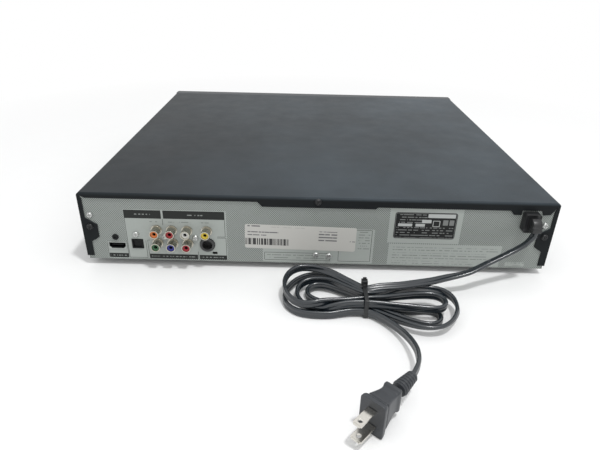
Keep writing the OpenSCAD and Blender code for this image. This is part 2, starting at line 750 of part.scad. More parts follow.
module hdmi_socket() color("#b9bcbb") difference() {
  z0 = hdmi_z - hdmi_h / 2;
  z1 = hdmi_z + hdmi_h / 2;
  w = hdmi_w / 2;
  union() {
    block([hdmi_x - w, rear_in - 9, z0], [hdmi_x + w, panel_y + 0.6, z1]);
    block([hdmi_x - w + 1, rear_in - 9, av_top], [hdmi_x + w - 1, rear_in - 1, z0 + 1]);
  }
  difference() {
    block([hdmi_x - w + 0.6, panel_y - 8, z0 + 0.6], [hdmi_x + w - 0.6, panel_y + 2, z1 - 0.6]);
    block([hdmi_x - w + 2.4, panel_y - 9, hdmi_z - 0.2], [hdmi_x + w - 2.4, panel_y - 1, hdmi_z + 0.8]);
  }
}

shutter_t = 0.8;
module optical_socket() color("#1a1c1d") difference() {
  w = optical_w / 2;
  h = optical_h / 2;
  union() {
    block([optical_x - w, rear_in - 12, optical_z - h], [optical_x + w, panel_y + 0.6, optical_z + h]);
    block([optical_x - w, rear_in - 12, av_top], [optical_x + w, rear_in - 1, optical_z]);
  }
  block([optical_x - w + 1.2, panel_y - 8, optical_z - h + 1.2], [optical_x + w - 1.2, panel_y + 2, optical_z + h - 1.2]);
}

module optical_shutter() color("#2b2d2f") {
  w = optical_w / 2 - 1.4;
  h = optical_h / 2 - 1.4;
  block([optical_x - w, panel_y - 1.6, optical_z - h], [optical_x + w, panel_y - 1.6 + shutter_t, optical_z + h - 0.2]);
  bar_x(panel_y - 1.2, optical_z + h - 0.6, 0.6, optical_x - w, optical_x + w);
}

// Right-angle moulded bush: a block on the panel, and a nose that turns the cord down
module cord_bush() color("#1d2021") {
  mid = (bush_x0 + bush_x1) / 2;
  w = bush_x1 - bush_x0;
  face = panel_y + bush_out;
  translate([mid, 0, (bush_z0 + bush_z1) / 2]) {
    along_y(panel_y, face) round_rect(w, bush_z1 - bush_z0, 2);
    along_y(rear_in - 5, panel_y) round_rect(w - 4.4, bush_z1 - bush_z0 - 4.4, 2);
  }
  along_x(mid - 6.6, mid + 5.4) polygon([[face - 1, bush_z1 - 2], [face + 4, bush_z1 - 3],
    [face + 9.5, bush_z1 - 7], [face + 10.5, bush_z1 - 9], [face + 10.5, bush_z1 - 12.5],
    [face + 2, bush_z1 - 12.5], [face + 1.5, bush_z0 + 1], [face - 1, bush_z0 - 2]]);
}

// Points of a smooth curve through a route, steps to each stretch
function spline(p0, p1, p2, p3, t) = 0.5 * ((2 * p1) + (p2 - p0) * t
  + (2 * p0 - 5 * p1 + 4 * p2 - p3) * t * t + (3 * p1 - p0 - 3 * p2 + p3) * t * t * t);
function smooth(route, steps) = let (n = len(route))
  [for (i = [0 : n - 2], s = [0 : steps - 1])
    spline(route[max(i - 1, 0)], route[i], route[i + 1], route[min(i + 2, n - 1)], s / steps),
    route[n - 1]];
function unit(v) = v / norm(v);

// A tube of tube_sides sides swept along a route
module tube(route, r) {
  pts = smooth(route, tube_steps);
  n = len(pts);
  rings = [for (i = [0 : n - 1]) let (
      dir = unit(pts[min(i + 1, n - 1)] - pts[max(i - 1, 0)]),
      side = unit(cross(abs(dir[2]) > 0.8 ? [0, 1, 0] : [0, 0, 1], dir)),
      up = cross(dir, side))
    [for (k = [0 : tube_sides - 1]) let (a = 360 * k / tube_sides)
      pts[i] + r * (cos(a) * side + sin(a) * up)]];
  points = [for (ring = rings) each ring];
  sides = [for (i = [0 : n - 2], k = [0 : tube_sides - 1]) let (j = (k + 1) % tube_sides)
    [i * tube_sides + j, i * tube_sides + k, (i + 1) * tube_sides + k, (i + 1) * tube_sides + j]];
  start = [for (k = [0 : tube_sides - 1]) k];
  finish = [for (k = [tube_sides - 1 : -1 : 0]) (n - 1) * tube_sides + k];
  polyhedron(points, concat([start], sides, [finish]));
}

module cord_tube() color("#2b2f31") {
  tube(lead_route, cord_r);
  tube(tail_route, cord_r);
}

module cord_hank() color("#2b2f31") {
  waist = (waist_y0 + waist_y1) / 2;
  for (lobe = [[hank_left, hank_left_r, tie_x + tie_w / 2], [hank_right, hank_right_r, tie_x - tie_w / 2]])
    linear_extrude(hank_h) hull() {
      translate(lobe[0]) circle(lobe[1], $fn = 32);
      translate([lobe[2] - 0.5, waist_y0 - 1]) square([1, waist_y1 - waist_y0 + 2]);
    }
  block([tie_x - tie_w / 2, waist_y0, tie_t + 0.2], [tie_x + tie_w / 2, waist_y1, hank_h - tie_t]);
}

module cord_tie() color("#151617") {
  x0 = tie_x - tie_w / 2 + 0.6;
  x1 = tie_x + tie_w / 2 - 0.6;
  difference() {
    block([x0, waist_y0 - tie_t, 0.2], [x1, waist_y1 + tie_t, hank_h]);
    block([x0 - 1, waist_y0, 0.2 + tie_t], [x1 + 1, waist_y1, hank_h - tie_t]);
  }
  // Head, wider than the band above the strands
  block([x0, waist_y0 - 2, hank_h - 0.5], [x1, waist_y0 + 3.5, hank_h + 1]);
  block([x0 - 0.6, waist_y0 - 2, hank_h + 0.3], [x1 + 0.6, waist_y0 + 3.5, hank_h + 4.5]);
}

// The plug lies on its edge, its blades along its own +X
module at_plug() translate([-62.9, 349.4, plug_z]) rotate([0, 0, plug_angle]) children();

plug_ribs = 6;
relief_l = 20;
plug_body_l = 28.5;
plug_face_w = 18;
module plug_body() color("#26292b") at_plug() {
  // Ribbed strain relief
  rotate([0, 90, 0]) cylinder(h = relief_l, r1 = 4.2, r2 = 5.4);
  for (i = [0 : plug_ribs - 1]) translate([1 + 3.2 * i, 0, 0]) rotate([0, 90, 0])
    cylinder(h = 1.8, r1 = 5 + 0.25 * i, r2 = 5 + 0.25 * i);
  // Tapered grip
  hull() {
    block([relief_l, -6, -8.5], [relief_l + 2, 6, 8.5]);
    block([relief_l + 17, -7.2, -11.5], [relief_l + 25, 7.2, 11.5]);
  }
  // Flared face
  hull() {
    block([relief_l + 20, -7.2, -11], [relief_l + 21, 7.2, 11]);
    block([relief_l + 25.5, -plug_face_w / 2, -plug_z + 3], [relief_l + plug_body_l, plug_face_w / 2, plug_z - 3]);
    block([relief_l + 25.5, -plug_face_w / 2 + 4, -plug_z + 0.05],
      [relief_l + plug_body_l, plug_face_w / 2 - 4, plug_z - 0.05]);
  }
}

blade_l = 16.3;
blade_gap = 12.7;
module plug_blades() color("#cfcfca") at_plug() for (b = [[1, 6.35], [-1, 7.9]]) {
  x0 = relief_l + plug_body_l;
  z = b[0] * blade_gap / 2;
  difference() {
    union() {
      block([x0, -b[1] / 2, z - 0.75], [x0 + blade_l - 1, b[1] / 2, z + 0.75]);
      block([x0, -b[1] / 2 + 0.8, z - 0.45], [x0 + blade_l, b[1] / 2 - 0.8, z + 0.45]);
    }
    translate([x0 + blade_l - 4.2, 0, z - 2]) cylinder(h = 4, r = 1.6);
  }
}

// Region of the drawer's rear that stays open for the disc drive
module rear_cut(z0, z1) {
  block([-cut_half, cut_front, z0], [cut_half, tray_rear + 1, z1]);
}

module drawer_rack() {
  count = floor((rack_y1 - rack_y0) / tooth_pitch);
  root = rack_x + 1.05 * tooth_m;
  tip = rack_x - 0.85 * tooth_m;
  first = gear_y - 2.5 * tooth_pitch;
  back = root + 4;
  block([root, first - tooth_pitch / 2, rack_z0], [back, rack_y1, tray_z]);
  translate([0, 0, rack_z0]) linear_extrude(tray_z - rack_z0) for (i = [0 : count - 1])
    translate([0, first + i * tooth_pitch])
      polygon([[root + eps, -0.31 * tooth_pitch], [tip, -0.1 * tooth_pitch],
        [tip, 0.1 * tooth_pitch], [root + eps, 0.31 * tooth_pitch]]);
}

module drawer_tray() color("#26292b") difference() {
  union() {
    block([-tray_half, tray_front, tray_z], [tray_half, tray_rear, tray_floor]);
    for (x = [-tray_half, tray_half - tray_wall])
      block([x, tray_front, tray_z], [x + tray_wall, tray_rear, tray_top]);
    block([-tray_half, tray_front, tray_z], [tray_half, tray_front + tray_wall, tray_top + 8]);
    block([-tray_half, tray_rear - tray_wall, tray_z], [tray_half, tray_rear, tray_top]);
    for (x = [-tray_half - rail_w, tray_half])
      block([x, tray_front + 8, rail_z0], [x + rail_w, tray_rear, rail_z1]);
    // Deck round the turntable
    difference() {
      block([-tray_half, tray_front, tray_top - 2], [tray_half, tray_rear, tray_top]);
      translate([0, carousel_y, tray_top - 3]) cylinder(h = 4, r = carousel_r + carousel_gap + 0.3, $fn = 96);
    }
    translate([0, carousel_y, tray_floor]) cylinder(h = carousel_z - 0.1 - tray_floor, r = hub_pad_r);
    translate([0, carousel_y, tray_floor]) cylinder(h = carousel_top - 0.4 - tray_floor, r = pin_r);
    drawer_rack();
  }
  rear_cut(tray_z - 1, tray_top + 1);
  translate([pinion_x, pinion_y, tray_z - 1]) cylinder(h = tray_t + 2, r = 13.3);
}

module drawer_door() color("#5a5e60") difference() {
  block([-door_half, y_front, door_z0], [door_half, tray_front, door_z1]);
  block([-tray_half + 2, y_front + 3, tray_z + 2], [tray_half - 2, tray_front + 1, tray_top + 5]);
  // Finger bevel along the lower edge
  translate([0, y_front, door_z0]) rotate([45, 0, 0]) cube([2 * door_half + 2, 2, 2], center = true);
}

module carousel_motor() color("#a9adab") translate([pinion_x, pinion_y, 0]) {
  translate([0, 0, tray_z - 4.5]) cylinder(h = 6.5, r = 13);
  block([-5, -17.5, tray_z - 1.2], [5, 17.5, tray_z]);
  translate([0, 0, tray_z]) cylinder(h = 6.2, r = 1);
}

module carousel_pinion() color("#d8d4c4") translate([pinion_x, pinion_y, tray_floor + 0.4])
  difference() {
    rotate([0, 0, pinion_angle + 180 + 180 / pinion_teeth]) gear(pinion_teeth, tooth_m, 3.6);
    translate([0, 0, -1]) cylinder(h = 6, r = 1 + run_gap);
  }

module carousel() color("#33383b") translate([0, carousel_y, carousel_z]) difference() {
  union() {
    cylinder(h = carousel_t, r = carousel_r, $fn = 96);
    translate([0, 0, -3.5]) difference() {
      gear(ring_teeth, tooth_m, 3.5 + eps);
      translate([0, 0, -1]) cylinder(h = 5, r = ring_pitch_r - 5);
    }
  }
  for (i = [0 : disc_count - 1]) rotate([0, 0, 90 + i * 360 / disc_count])
    translate([disc_ring_r, 0, 0]) {
      translate([0, 0, carousel_t - well_depth]) cylinder(h = well_depth + 1, r = well_r);
      translate([0, 0, carousel_t - well_depth - small_well_drop]) cylinder(h = 5, r = small_well_r);
      translate([0, 0, -1]) cylinder(h = carousel_t + 2, r = slot_w / 2);
      translate([0, -slot_w / 2, -1]) cube([90, slot_w, carousel_t + 2]);
    }
  translate([0, 0, -5]) cylinder(h = carousel_t + 6, r = pin_r + run_gap);
}

module hub_cap() color("#202325") translate([0, carousel_y, carousel_top]) rotate_extrude()
  polygon([[0, 0], [13, 0], [13, 0.8], [11.5, 2.1], [0, 2.4]]);

// Lowers what is drawn in its raised place
module lowered() translate([0, 0, -lift_h]) children();

module cam_slider() color("#d8d4c4") difference() {
  block([slider_x1 - slider_t, pin_front_y - 8, deck_z + frame_base + 0.3],
    [slider_x1, pin_rear_y + cam_travel + 5, well_top - 0.4]);
  cam_slot(pin_front_y);
  cam_slot(pin_rear_y);
}

damper_places = [for (x = [-1, 1], y = [pin_front_y, pin_rear_y]) [x * (holder_half - 4), y]];

module lift_holder() color("#2b2e30") lowered() {
  difference() {
    block([-holder_half, holder_front, holder_z], [holder_half, holder_back, holder_z + holder_t]);
    block([-holder_half + holder_wall, holder_front + holder_wall, holder_z - 1],
      [holder_half - holder_wall, holder_back - holder_wall, holder_z + holder_t + 1]);
  }
  for (y = [pin_front_y, pin_rear_y]) {
    bar_x(y, cam_pin_z, cam_pin_r, holder_half - eps, well_half + well_wall + 1);
    bar_x(y, cam_pin_z, cam_pin_r, slider_x1 - slider_t - 1, -holder_half + eps);
  }
}

module dampers() color("#17181a") lowered() for (p = damper_places)
  translate([p[0], p[1], holder_z + holder_t]) rotate_extrude()
    polygon([[1.2, 0], [3.8, 0], [3.8, 1.2], [2.8, 1.6], [2.8, 2.4], [3.8, 2.8],
      [3.8, plate_z - holder_z - holder_t], [1.2, plate_z - holder_z - holder_t]]);

module base_unit() color("#b4b8b6") lowered() difference() {
  top = plate_z + plate_t;
  union() {
    block([-holder_half, holder_front, plate_z], [holder_half, holder_back, top]);
    for (x = [-rod_x, rod_x], y = [rod_front, rod_back])
      block([x - 3, y - 1, top], [x + 3, y + 1, rod_z + 2.6]);
    block([screw_x - 3, rod_front - 1, top], [screw_x + 3, rod_front + 1, rod_z + 2.6]);
  }
  block([-17, sled_front - 1, plate_z - 1], [17, rod_back - 3, top + 1]);
  for (p = damper_places) translate([p[0], p[1], plate_z - 1]) cylinder(h = 4, r = 1.2);
  for (x = [-rod_x, rod_x]) bar_y(x, rod_z, rod_r + run_gap, rod_front - 2, rod_back + 2);
  bar_y(screw_x, rod_z, rod_r + run_gap, rod_front - 2, rod_front + 2);
}

module base_unit_motors() color("#a9adab") lowered() {
  top = plate_z + plate_t;
  translate([0, play_y, top]) cylinder(h = 10.8, r = motor_r);
  translate([0, play_y, top]) cylinder(h = platter_z + 1 - top, r = 1);
  intersection() {
    bar_y(screw_x, rod_z, 6, rod_back, rod_back + 10);
    block([screw_x - 6, rod_back - 1, top], [screw_x + 6, rod_back + 11, rod_z + 4]);
  }
}

module spindle_platter() color("#202325") lowered() translate([0, play_y, 0]) difference() {
  rotate_extrude() polygon([[0, platter_z - 6], [4, platter_z - 6], [4, platter_z - 2.5],
    [platter_r, platter_z - 2.5], [platter_r, platter_z], [7.4, platter_z],
    [7.4, platter_z + 0.8], [5.8, platter_z + 2.2], [0, platter_z + 2.2]]);
  translate([0, 0, platter_z - 7]) cylinder(h = 8.2, r = 1 + run_gap);
}

lens_y = play_y + lens_r0;
module pickup_sled() color("#4a4e50") lowered() difference() {
  top = plate_z + plate_t;
  union() {
    block([-30, sled_front, top + 1.2], [30, sled_back, rod_z + 2.8]);
    block([-14, sled_front + 3, plate_z - 6], [14, sled_back - 1, top + 2]);
    block([-13, sled_front + 0.5, rod_z + 2], [13, sled_back - 2, platter_z - 3.5]);
    translate([0, lens_y, platter_z - 4]) cylinder(h = 1.7, r = 5.6);
    block([screw_x - 3.5, lens_y, rod_z - 2.4], [-30 + eps, lens_y + 7, rod_z + 2.4]);
  }
  for (x = [-rod_x, rod_x]) bar_y(x, rod_z, rod_r + run_gap, sled_front - 1, sled_back + 1);
  bar_y(screw_x, rod_z, rod_r + 0.4, lens_y - 1, lens_y + 8);
  translate([0, lens_y, platter_z - 5]) cylinder(h = 4, r = 3.7);
}

module pickup_lens() color("#6d86a8") lowered() translate([0, lens_y, platter_z - 5])
  rotate_extrude() polygon([[0, 0], [3.65, 0], [3.65, 2.6], [3, 3.1], [0, 3.5]]);

module guide_rods() color("#d5d8d6") lowered() for (x = [-rod_x, rod_x])
  bar_y(x, rod_z, rod_r, rod_front - 2, rod_back + 2);

module lead_screw() color("#d5d8d6") lowered()
  bar_y(screw_x, rod_z, rod_r, rod_front - 1, rod_back - 0.2);

// A button: its cap in the panel's hole and a flange behind the panel's wall
flange_y = band_y + panel_wall + 0.3;
module button(x, colour) color(colour) translate([x, 0, control_z]) {
  control_cap(button_w, button_h, band_y - button_out, flange_y + eps);
  control_cap(button_w + 1.6, button_h + 1.6, flange_y, flange_y + 0.9);
  along_y(flange_y + 0.9 - eps, board_y - 4.3 - button_travel - small_gap) square(3.2, center = true);
}

module power_button() color("#8d9294") {
  bar_y(power_x, control_z, power_r, band_y - button_out, flange_y + eps);
  bar_y(power_x, control_z, power_r + 0.8, flange_y, flange_y + 0.9);
  bar_y(power_x, control_z, 1.8, flange_y + 0.9 - eps, board_y - 4.3 - button_travel - small_gap);
}

module open_button() button(open_x, "#8d9294");
module disc_button() button(disc_x, "#8d9294");
module play_button() button(play_x, "#8d9294");
module pause_button() button(pause_x, "#8d9294");
module stop_button() button(stop_x, "#8d9294");

top_cover();
bottom_chassis();
rear_panel();
front_panel();
display_window();
feet();
cover_screws();
panel_screws();
mechanism_frame();
drawer_guides();
clamp_bridge();
loading_motor();
loading_belt();
power_board();
transformer();
capacitors();
heat_sink();
av_board();
chips();
front_board();
display_tube();
ribbon_cables();
rca_shells();
rca_inserts();
rca_housing();
svideo_socket();
hdmi_socket();
optical_socket();
optical_shutter();
cord_bush();
cord_tube();
cord_hank();
cord_tie();
plug_body();
plug_blades();
drawer_tray();
drawer_door();
carousel_motor();
carousel();
hub_cap();
carousel_pinion();
motor_pulley();
drawer_gear();
cam_slider();
lift_holder();
base_unit();
dampers();
base_unit_motors();
spindle_platter();
pickup_sled();
pickup_lens();
guide_rods();
lead_screw();
clamp_disc();
power_button();
open_button();
disc_button();
play_button();
pause_button();
stop_button();
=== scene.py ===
"""Looks of a disc changer with its mains cord tied in a hank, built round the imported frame."""
import json
import math

import bmesh
import bpy
from mathutils import Matrix, Vector


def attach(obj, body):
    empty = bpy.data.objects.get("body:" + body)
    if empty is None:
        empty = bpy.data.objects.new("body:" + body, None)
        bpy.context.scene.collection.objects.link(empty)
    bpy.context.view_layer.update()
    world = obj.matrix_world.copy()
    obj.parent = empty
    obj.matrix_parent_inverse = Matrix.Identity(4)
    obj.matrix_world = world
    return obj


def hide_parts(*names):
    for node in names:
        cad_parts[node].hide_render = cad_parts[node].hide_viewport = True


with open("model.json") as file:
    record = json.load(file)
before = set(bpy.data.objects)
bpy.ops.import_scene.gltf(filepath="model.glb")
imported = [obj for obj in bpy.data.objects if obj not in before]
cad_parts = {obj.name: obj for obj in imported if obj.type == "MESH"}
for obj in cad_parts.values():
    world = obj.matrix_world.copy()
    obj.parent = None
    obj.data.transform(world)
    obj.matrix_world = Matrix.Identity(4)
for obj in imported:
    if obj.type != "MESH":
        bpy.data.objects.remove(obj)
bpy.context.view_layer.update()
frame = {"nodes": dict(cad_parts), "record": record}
nodes = frame["nodes"]
MM = 0.001


def mm(*values):
    """A point given in millimetres, in metres."""
    return Vector([v * MM for v in values])


def deselect():
    if bpy.context.object and bpy.context.object.mode != "OBJECT":
        bpy.ops.object.mode_set(mode="OBJECT")
    bpy.ops.object.select_all(action="DESELECT")


deselect()

# ---------------- camera

CAMERA_PLACE = (15.23, 604.25, 258.10)
CAMERA_AZIMUTH, CAMERA_ELEVATION, CAMERA_ROLL = 180.073, 27.453, 1.328
CAMERA_LENS, CAMERA_SENSOR = 30.18, 36
CAMERA_NEAR, CAMERA_FAR = 0.01, 60


def make_camera():
    az, el, roll = (math.radians(a) for a in (CAMERA_AZIMUTH, CAMERA_ELEVATION, CAMERA_ROLL))
    back = Vector((math.sin(az) * math.cos(el), -math.cos(az) * math.cos(el), math.sin(el)))
    right = (-back).cross(Vector((0, 0, 1))).normalized()
    up = right.cross(-back)
    axis_x = math.cos(roll) * right + math.sin(roll) * up
    axis_y = -math.sin(roll) * right + math.cos(roll) * up
    camera = bpy.data.objects.new("camera", bpy.data.cameras.new("camera"))
    bpy.context.scene.collection.objects.link(camera)
    turn = Matrix((axis_x, axis_y, back)).transposed()
    camera.matrix_world = Matrix.Translation(mm(*CAMERA_PLACE)) @ turn.to_4x4()
    camera.data.sensor_width = CAMERA_SENSOR
    camera.data.lens = CAMERA_LENS
    camera.data.clip_start = CAMERA_NEAR
    camera.data.clip_end = CAMERA_FAR
    bpy.context.scene.camera = camera


make_camera()

# ---------------- mains cord

CORD_WIDTH = 7.2
CORD_THICK = 3.4
CORD_STEP = 2.2
# Points of the cord's middle line from the bush to the plug, in millimetres,
# with its tilt in degrees: at 0 it stands on edge, at 90 it lies flat.
LEAD = [
    (-191.5, 212.0, 53.8, 95), (-190.9, 212.4, 50.2, 93), (-188.4, 213.0, 46.0, 95),
    (-185.1, 213.0, 41.2, 99), (-179.9, 213.6, 37.2, 103), (-172.8, 215.2, 33.6, 105),
    (-165.4, 217.5, 30.6, 106), (-157.8, 219.9, 27.8, 106), (-150.5, 222.4, 25.3, 104),
    (-142.5, 225.8, 22.8, 101), (-134.2, 228.8, 20.2, 97), (-126.0, 230.3, 18.2, 91),
    (-112.7, 233.2, 16.4, 79), (-101.5, 237.3, 16.0, 71), (-89.0, 241.0, 15.9, 64),
    (-70.5, 245.7, 15.7, 58), (-52.9, 248.1, 15.3, 60), (-43.8, 249.6, 14.2, 65)]
TOP_TURN = [
    (-39.5, 248.8, 13.9, 65), (-26.4, 238.7, 14.5, 70), (-12.7, 228.0, 15.4, 45), (0.7, 222.1, 16.0, 10),
    (10.3, 221.1, 16.1, 0), (17.1, 222.8, 15.8, 0), (22.5, 227.1, 15.3, 0), (26.1, 233.2, 14.6, 0),
    (28.0, 242.5, 13.6, 0), (26.1, 254.4, 12.4, 0), (21.5, 262.8, 11.7, 0), (16.1, 267.2, 11.3, 0),
    (9.5, 269.2, 11.3, 0), (2.5, 269.0, 12.1, 0), (-4.7, 266.9, 12.5, 5), (-22.2, 264.0, 12.0, 15)]
FOLDED_TURN = [
    (-39.4, 261.7, 12.3, 10), (-56.5, 259.3, 12.1, 10), (-73.4, 255.0, 11.5, 5), (-88.0, 252.3, 11.0, 0),
    (-96.4, 252.3, 11.0, 0), (-100.7, 253.3, 11.0, 0), (-104.2, 256.1, 11.0, 0), (-106.2, 260.0, 11.0, 0),
    (-106.2, 264.4, 11.0, 0), (-104.2, 268.3, 11.0, 0), (-100.7, 271.1, 11.0, 0), (-96.4, 272.0, 11.0, 0),
    (-88.0, 271.7, 11.0, 0), (-77.2, 270.4, 11.1, 0), (-59.7, 269.0, 11.6, 10)]
INNER_TURN = [
    (-42.5, 267.7, 12.0, 10), (-25.3, 267.8, 11.4, 5), (-10.8, 269.4, 8.9, 0), (-4.1, 269.1, 6.2, 0),
    (5.2, 265.5, 5.3, 0), (10.8, 261.0, 4.8, 0), (15.4, 252.8, 4.5, 0), (16.9, 245.9, 5.1, 0),
    (16.5, 241.4, 5.9, 0), (14.8, 237.4, 7.0, 0), (11.8, 234.2, 8.0, 0), (5.6, 231.3, 9.2, 0),
    (-3.8, 230.9, 10.0, 5), (-12.8, 234.0, 11.0, 10), (-26.4, 245.0, 11.8, 15)]
RAISED_TURN = [
    (-38.0, 253.6, 12.3, 15), (-42.5, 254.5, 12.2, 10), (-51.9, 252.7, 11.4, 0),
    (-65.6, 246.4, 10.0, -20), (-82.2, 242.2, 10.1, -35), (-99.5, 241.9, 9.9, -30),
    (-106.4, 243.9, 9.9, -20), (-111.8, 248.1, 9.6, -5), (-115.2, 254.2, 9.3, 10),
    (-116.2, 261.3, 9.0, 20), (-114.5, 270.7, 8.7, 10), (-108.4, 281.3, 8.3, -15),
    (-101.3, 287.8, 8.1, -35), (-94.8, 290.7, 7.9, -45), (-87.6, 291.3, 7.7, -45),
    (-78.3, 289.0, 7.3, -35), (-63.2, 280.6, 6.4, -15), (-49.3, 270.3, 5.2, 0)]
SMALL_TURN = [
    (-41.5, 264.6, 5.3, 0), (-34.6, 262.6, 5.1, 0), (-17.6, 261.5, 4.3, 0), (-3.8, 256.3, 3.8, 0),
    (3.6, 251.7, 3.8, 0), (6.9, 247.9, 3.9, 0), (8.3, 243.5, 4.1, 0), (7.4, 238.9, 4.5, 0),
    (4.2, 235.2, 5.0, 0), (-0.3, 233.6, 5.5, 0), (-7.5, 234.2, 5.8, 0), (-22.0, 240.2, 4.8, 0),
    (-32.1, 246.9, 5.2, 0)]
LOWER_TURN = [
    (-44.0, 259.5, 5.2, 0), (-57.9, 269.8, 4.6, 0), (-73.9, 278.2, 4.0, 0), (-84.0, 282.2, 3.8, 0),
    (-91.0, 283.3, 3.8, 0), (-95.4, 282.2, 3.8, 0), (-98.9, 279.4, 3.8, 0), (-100.8, 275.4, 3.8, 0),
    (-100.8, 271.1, 3.8, 0), (-98.9, 267.2, 3.8, 0), (-95.4, 264.5, 3.8, 0), (-91.0, 263.6, 3.8, 0),
    (-78.5, 265.4, 4.0, 0), (-64.9, 264.6, 4.4, 0), (-50.0, 257.6, 5.0, 0)]
OUTER_TURN = [
    (-37.1, 246.0, 5.5, 0), (-26.7, 232.1, 5.8, 0), (-15.4, 222.6, 6.4, 0), (-6.4, 219.4, 6.8, 0),
    (3.2, 219.7, 6.9, 0), (12.2, 223.1, 6.4, 0), (19.6, 229.2, 5.5, 0), (25.8, 239.6, 4.3, 0),
    (27.6, 249.0, 3.9, 0), (25.9, 258.4, 3.8, 0), (22.2, 264.5, 3.8, 0), (16.8, 269.1, 3.8, 0),
    (7.7, 272.3, 3.8, 0), (-9.7, 272.7, 3.7, 0), (-26.8, 269.3, 4.6, 0), (-38.8, 269.8, 5.3, 5)]
TAIL = [
    (-46.0, 272.6, 5.2, 0), (-51.0, 277.0, 5.6, 0), (-57.0, 283.5, 5.9, 0), (-63.0, 292.5, 6.8, 0),
    (-67.6, 303.0, 8.5, 0), (-70.2, 314.0, 10.6, 0), (-71.0, 325.0, 12.3, 0), (-69.0, 337.5, 13.3, 0),
    (-62.9, 349.4, 13.65, 0), (-57.2, 355.8, 13.65, 0)]
FINE_STEP = 0.4
# Sine of the angle to the vertical below which the cord counts as upright.
UPRIGHT = 0.35
CORE_ANGLES = (-136, -104, -70, -35, 0, 35, 70, 104, 136)


def blend(u, v, start, end, t):
    """The place at t on a straight run from u at start to v at end."""
    span = end - start
    return u * ((end - t) / span) + v * ((t - start) / span)


def fine_route(points):
    """Close places and tilts along a smooth curve through the points."""
    rows = [Vector(p) for p in points]
    rows = [rows[0] * 2 - rows[1], *rows, rows[-1] * 2 - rows[-2]]
    fine = []
    for a, b, c, d in zip(rows, rows[1:], rows[2:], rows[3:]):
        knots = [0.0]
        for u, v in ((a, b), (b, c), (c, d)):
            knots.append(knots[-1] + math.sqrt((v - u).xyz.length))
        k0, k1, k2, k3 = knots
        count = max(2, int((c - b).xyz.length / FINE_STEP))
        for i in range(count):
            t = k1 + (k2 - k1) * i / count
            ab, bc, cd = blend(a, b, k0, k1, t), blend(b, c, k1, k2, t), blend(c, d, k2, k3, t)
            fine.append(blend(blend(ab, bc, k0, k2, t), blend(bc, cd, k1, k3, t), k1, k2, t))
    return [*fine, rows[-2]]


def even_route(fine, step):
    """The same curve as places and tilts one even step apart."""
    along = [0.0]
    for u, v in zip(fine, fine[1:]):
        along.append(along[-1] + (v - u).xyz.length)
    count = round(along[-1] / step)
    path, i = [], 0
    for k in range(count + 1):
        reach = along[-1] * k / count
        while i < len(along) - 2 and along[i + 1] < reach:
            i += 1
        share = (reach - along[i]) / (along[i + 1] - along[i])
        path.append(fine[i].lerp(fine[i + 1], share))
    return path


def twin_section():
    """Outline of the flat twin cord: two round cores with a shallow groove between them."""
    radius = CORD_THICK / 2
    middle = CORD_WIDTH / 2 - radius
    points = []
    for side in (1, -1):
        for angle in map(math.radians, CORE_ANGLES):
            points.append((side * (middle + radius * math.cos(angle)), side * radius * math.sin(angle)))
    return points


def section_axes(path, i):
    """Directions of the section's width and thickness at one place of the path."""
    ahead = (path[min(i + 1, len(path) - 1)] - path[max(i - 1, 0)]).xyz.normalized()
    thin = ahead.cross(Vector((0, 0, 1)))
    if thin.length < UPRIGHT:
        thin = Vector((0, -1, 0))
    thin.normalize()
    wide = thin.cross(ahead).normalized()
    if wide.z < 0:
        wide.negate()
    tilt = math.radians(path[i].w)
    turned = wide * math.cos(tilt) + thin * math.sin(tilt)
    return turned, turned.cross(ahead).normalized()


def make_cord():
    """Sweeps the section along the route, with a UV map whose V is the length along it in metres."""
    route = (LEAD + TOP_TURN + FOLDED_TURN + INNER_TURN + RAISED_TURN + SMALL_TURN + LOWER_TURN
             + OUTER_TURN + TAIL)
    path = even_route(fine_route(route), CORD_STEP)
    section = twin_section()
    count = len(section)
    mesh = bmesh.new()
    uv_layer = mesh.loops.layers.uv.new("along_cord")
    rings = []
    for i, place in enumerate(path):
        wide, thin = section_axes(path, i)
        rings.append([mesh.verts.new((place.xyz + wide * w + thin * t) * MM) for w, t in section])
    for i, (ring, ahead) in enumerate(zip(rings, rings[1:])):
        for k in range(count):
            j = (k + 1) % count
            face = mesh.faces.new((ring[k], ring[j], ahead[j], ahead[k]))
            face.smooth = True
            for loop, (u, v) in zip(face.loops, ((k, i), (k + 1, i), (k + 1, i + 1), (k, i + 1))):
                loop[uv_layer].uv = (u / count, v * CORD_STEP * MM)
    mesh.faces.new(rings[0][::-1])
    mesh.faces.new(rings[-1])
    bmesh.ops.recalc_face_normals(mesh, faces=mesh.faces)
    data = bpy.data.meshes.new("mains_cord")
    mesh.to_mesh(data)
    mesh.free()
    made = bpy.data.objects.new("mains_cord", data)
    bpy.context.scene.collection.objects.link(made)
    return made, [tuple(place.xyz * MM) for place in path]


cord, cord_path = make_cord()

# ---------------- shared node groups

SOCKET_KINDS = {"Vector": "Vector", "Normal": "Vector", "Colour": "Color"}


